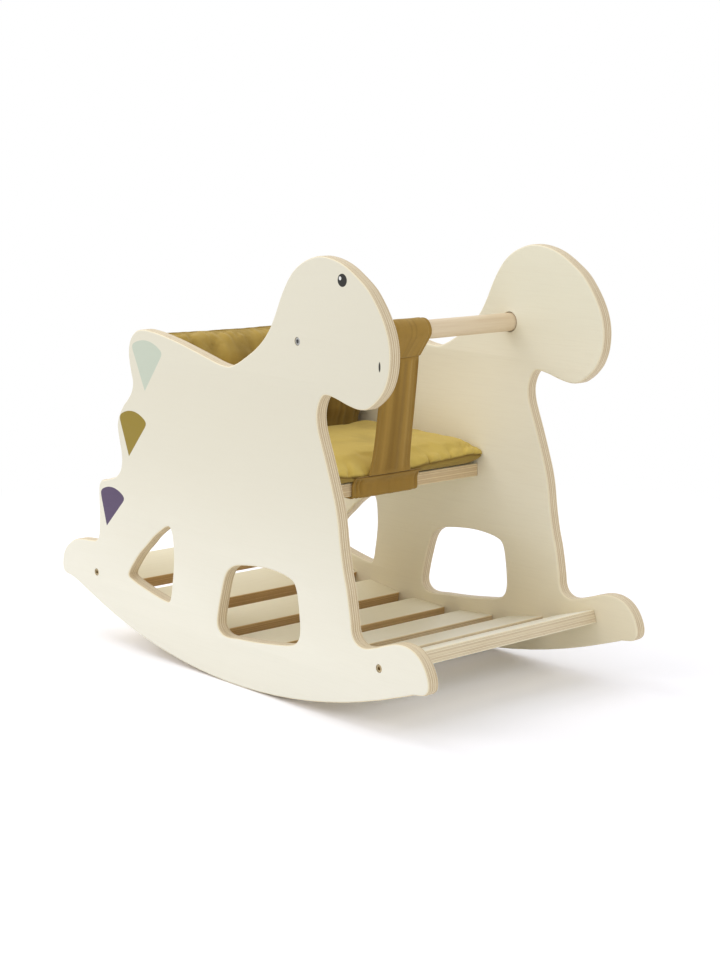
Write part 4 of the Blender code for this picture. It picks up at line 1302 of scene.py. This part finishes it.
def build_tab():
    """The wide tab from the strap's foot round the front of the seat board and under it."""
    _, foot, down = strap_line()
    start = foot + down * TOUCH
    face = SEAT_FRONT + TOUCH + CLOTH / 2
    under = SEAT_BOTTOM - TOUCH - CLOTH / 2
    bend = 3.0 * MM
    path = [(start.x, start.y)]
    path += [(face + out * MM, SEAT_TOP + rise * MM) for out, rise in ((2.4, 1.5), (0.2, -3.0), (0.0, -8.0))]
    path.append((face, under + bend))
    for k in range(1, 7):
        angle = math.radians(-15 * k)
        path.append((face - bend + bend * math.cos(angle), under + bend + bend * math.sin(angle)))
    path += [(SEAT_FRONT - TAB_UNDER * part / 4, under) for part in range(1, 5)]
    points = along_path(path, 0.8 * MM)
    stations = []
    for k, point in enumerate(points):
        along = down if k == 0 else (points[min(len(points) - 1, k + 1)] - points[k - 1]).normalized()
        stations.append(((point.x, 0, point.y), (-along.y, along.x), TAB_WIDTH / 2, CLOTH / 2))

    def relief(share, w):
        fold = (hump(w, -0.88, 0.028) + hump(w, -0.78, 0.028)) * hump(share, 0.14, 0.2)
        shoulder = max(0.0, abs(w) - 0.62) / 0.38 * hump(share, 0.0, 0.07)
        hem = hump(abs(w), 0.91, 0.025)
        return 0.5 * wander(w * 5, share * 5, 31.0) - 0.6 * hem - 2.2 * fold - 3.0 * shoulder

    strip("strap_tab", stations, False, 0.6, relief, 0.93, 2, (4, 4))


# Surroundings


def seen_ray(shader):
    """1 for what the camera sees, straight or in gloss or glass, and 0 for the light that falls on things."""
    rays = ("Is Camera Ray", "Is Glossy Ray", "Is Transmission Ray")
    camera, gloss, glass = (shader.node("LightPath", {}, ray) for ray in rays)
    return shader.math("MAXIMUM", shader.math("MAXIMUM", camera, gloss), glass)


def build_floor():
    """A pale floor. The camera sees it white where no shadow falls."""
    shader = Shader("floor_paint")
    seen = seen_ray(shader)
    paint = shader.mix(seen, FLOOR_LIT, FLOOR_SEEN)
    place = shader.coordinates("Object")
    far = shader.step(place.dot(place), 0.45, 1.4) * seen
    shader.show(far, shader.node("BsdfDiffuse", {"Color": paint}), shader.node("Emission", {}))
    tool = bmesh.new()
    bmesh.ops.create_circle(tool, cap_ends=True, segments=96, radius=FLOOR_RADIUS)
    floor = link("floor", mesh_of("floor", tool))
    floor.data.materials.append(shader.owner)
    floor.location.z = -FLOOR_GAP


def build_world():
    """A soft white sky, which the camera sees a little brighter than it lights."""
    shader = Shader("studio", bpy.data.worlds)
    white = (1.0, 1.0, 1.0)
    soft = shader.node("Background", {"Color": white, "Strength": SKY_GLOW})
    shader.show(seen_ray(shader), soft, shader.node("Background", {"Color": white, "Strength": 1.0}))
    bpy.context.scene.world = shader.owner


def aim(name, data, place, ahead):
    """A lamp or camera in the scene that looks ahead."""
    holder = link(name, data)
    turned = Vector(ahead).to_track_quat("-Z", "Y")
    set_all(holder, location=place, rotation_mode="QUATERNION", rotation_quaternion=turned)
    return holder


def add_lamp(name, place, target, power):
    lamp = bpy.data.lights.new(name, "AREA")
    set_all(lamp, shape="SQUARE", size=LAMP_SIZE, energy=power)
    aim(name, lamp, place, Vector(target) - Vector(place))


def build_camera():
    """The photograph's camera, found from the outlines of both side panels."""
    camera = bpy.data.cameras.new("camera")
    set_all(camera, sensor_width=36.0, lens=CAMERA_LENS)
    bpy.context.scene.camera = aim("camera", camera, CAMERA_PLACE, CAMERA_AHEAD)


bpy.context.scene.view_settings.view_transform = "Standard"
CLOTH_FINISH = woven("mustard_cotton", CLOTH_LIT, CLOTH_DEEP)
# Painted shade: darker, browner copies of the same cotton for the back cushion and the strap.
SHADED_BACK_FINISH = woven("mustard_back_cotton_painted_shade", SHADED_BACK_LIGHT, SHADED_BACK_DEEP)
SHADED_STRAP_FINISH = woven("mustard_strap_cotton_painted_shade", SHADED_STRAP_LIGHT, SHADED_STRAP_DEEP)
build_panels()
build_boards()
build_handlebar()
build_screws()
finish_hidden_nodes()
# Painted light on the cushions: painted shade on the seat's seam and lower skin, painted highlight up to a
# limit, and the seat's cloth lighter towards the right panel.
build_cushion("seat_cushion", CLOTH_FINISH, seat_point, seat_relief, grid=(90, 300), most=2.6 * MM,
              seam_shade=1.0, lightest=-0.12, right_side_light=0.22)
build_cushion("back_cushion", SHADED_BACK_FINISH, back_point, back_relief, grid=(80, 220), most=4.0 * MM,
              seam_shade=0.0, lightest=-0.8, right_side_light=0.0)
build_sleeve()
build_strap()
build_tab()
build_floor()
build_world()
add_lamp("key", (-1.5, -0.35, 2.3), (0, 0, 0.1), 15.0)
add_lamp("side", (-0.4, -2.2, 1.5), (0, 0, 0.2), 8.5)
build_camera()
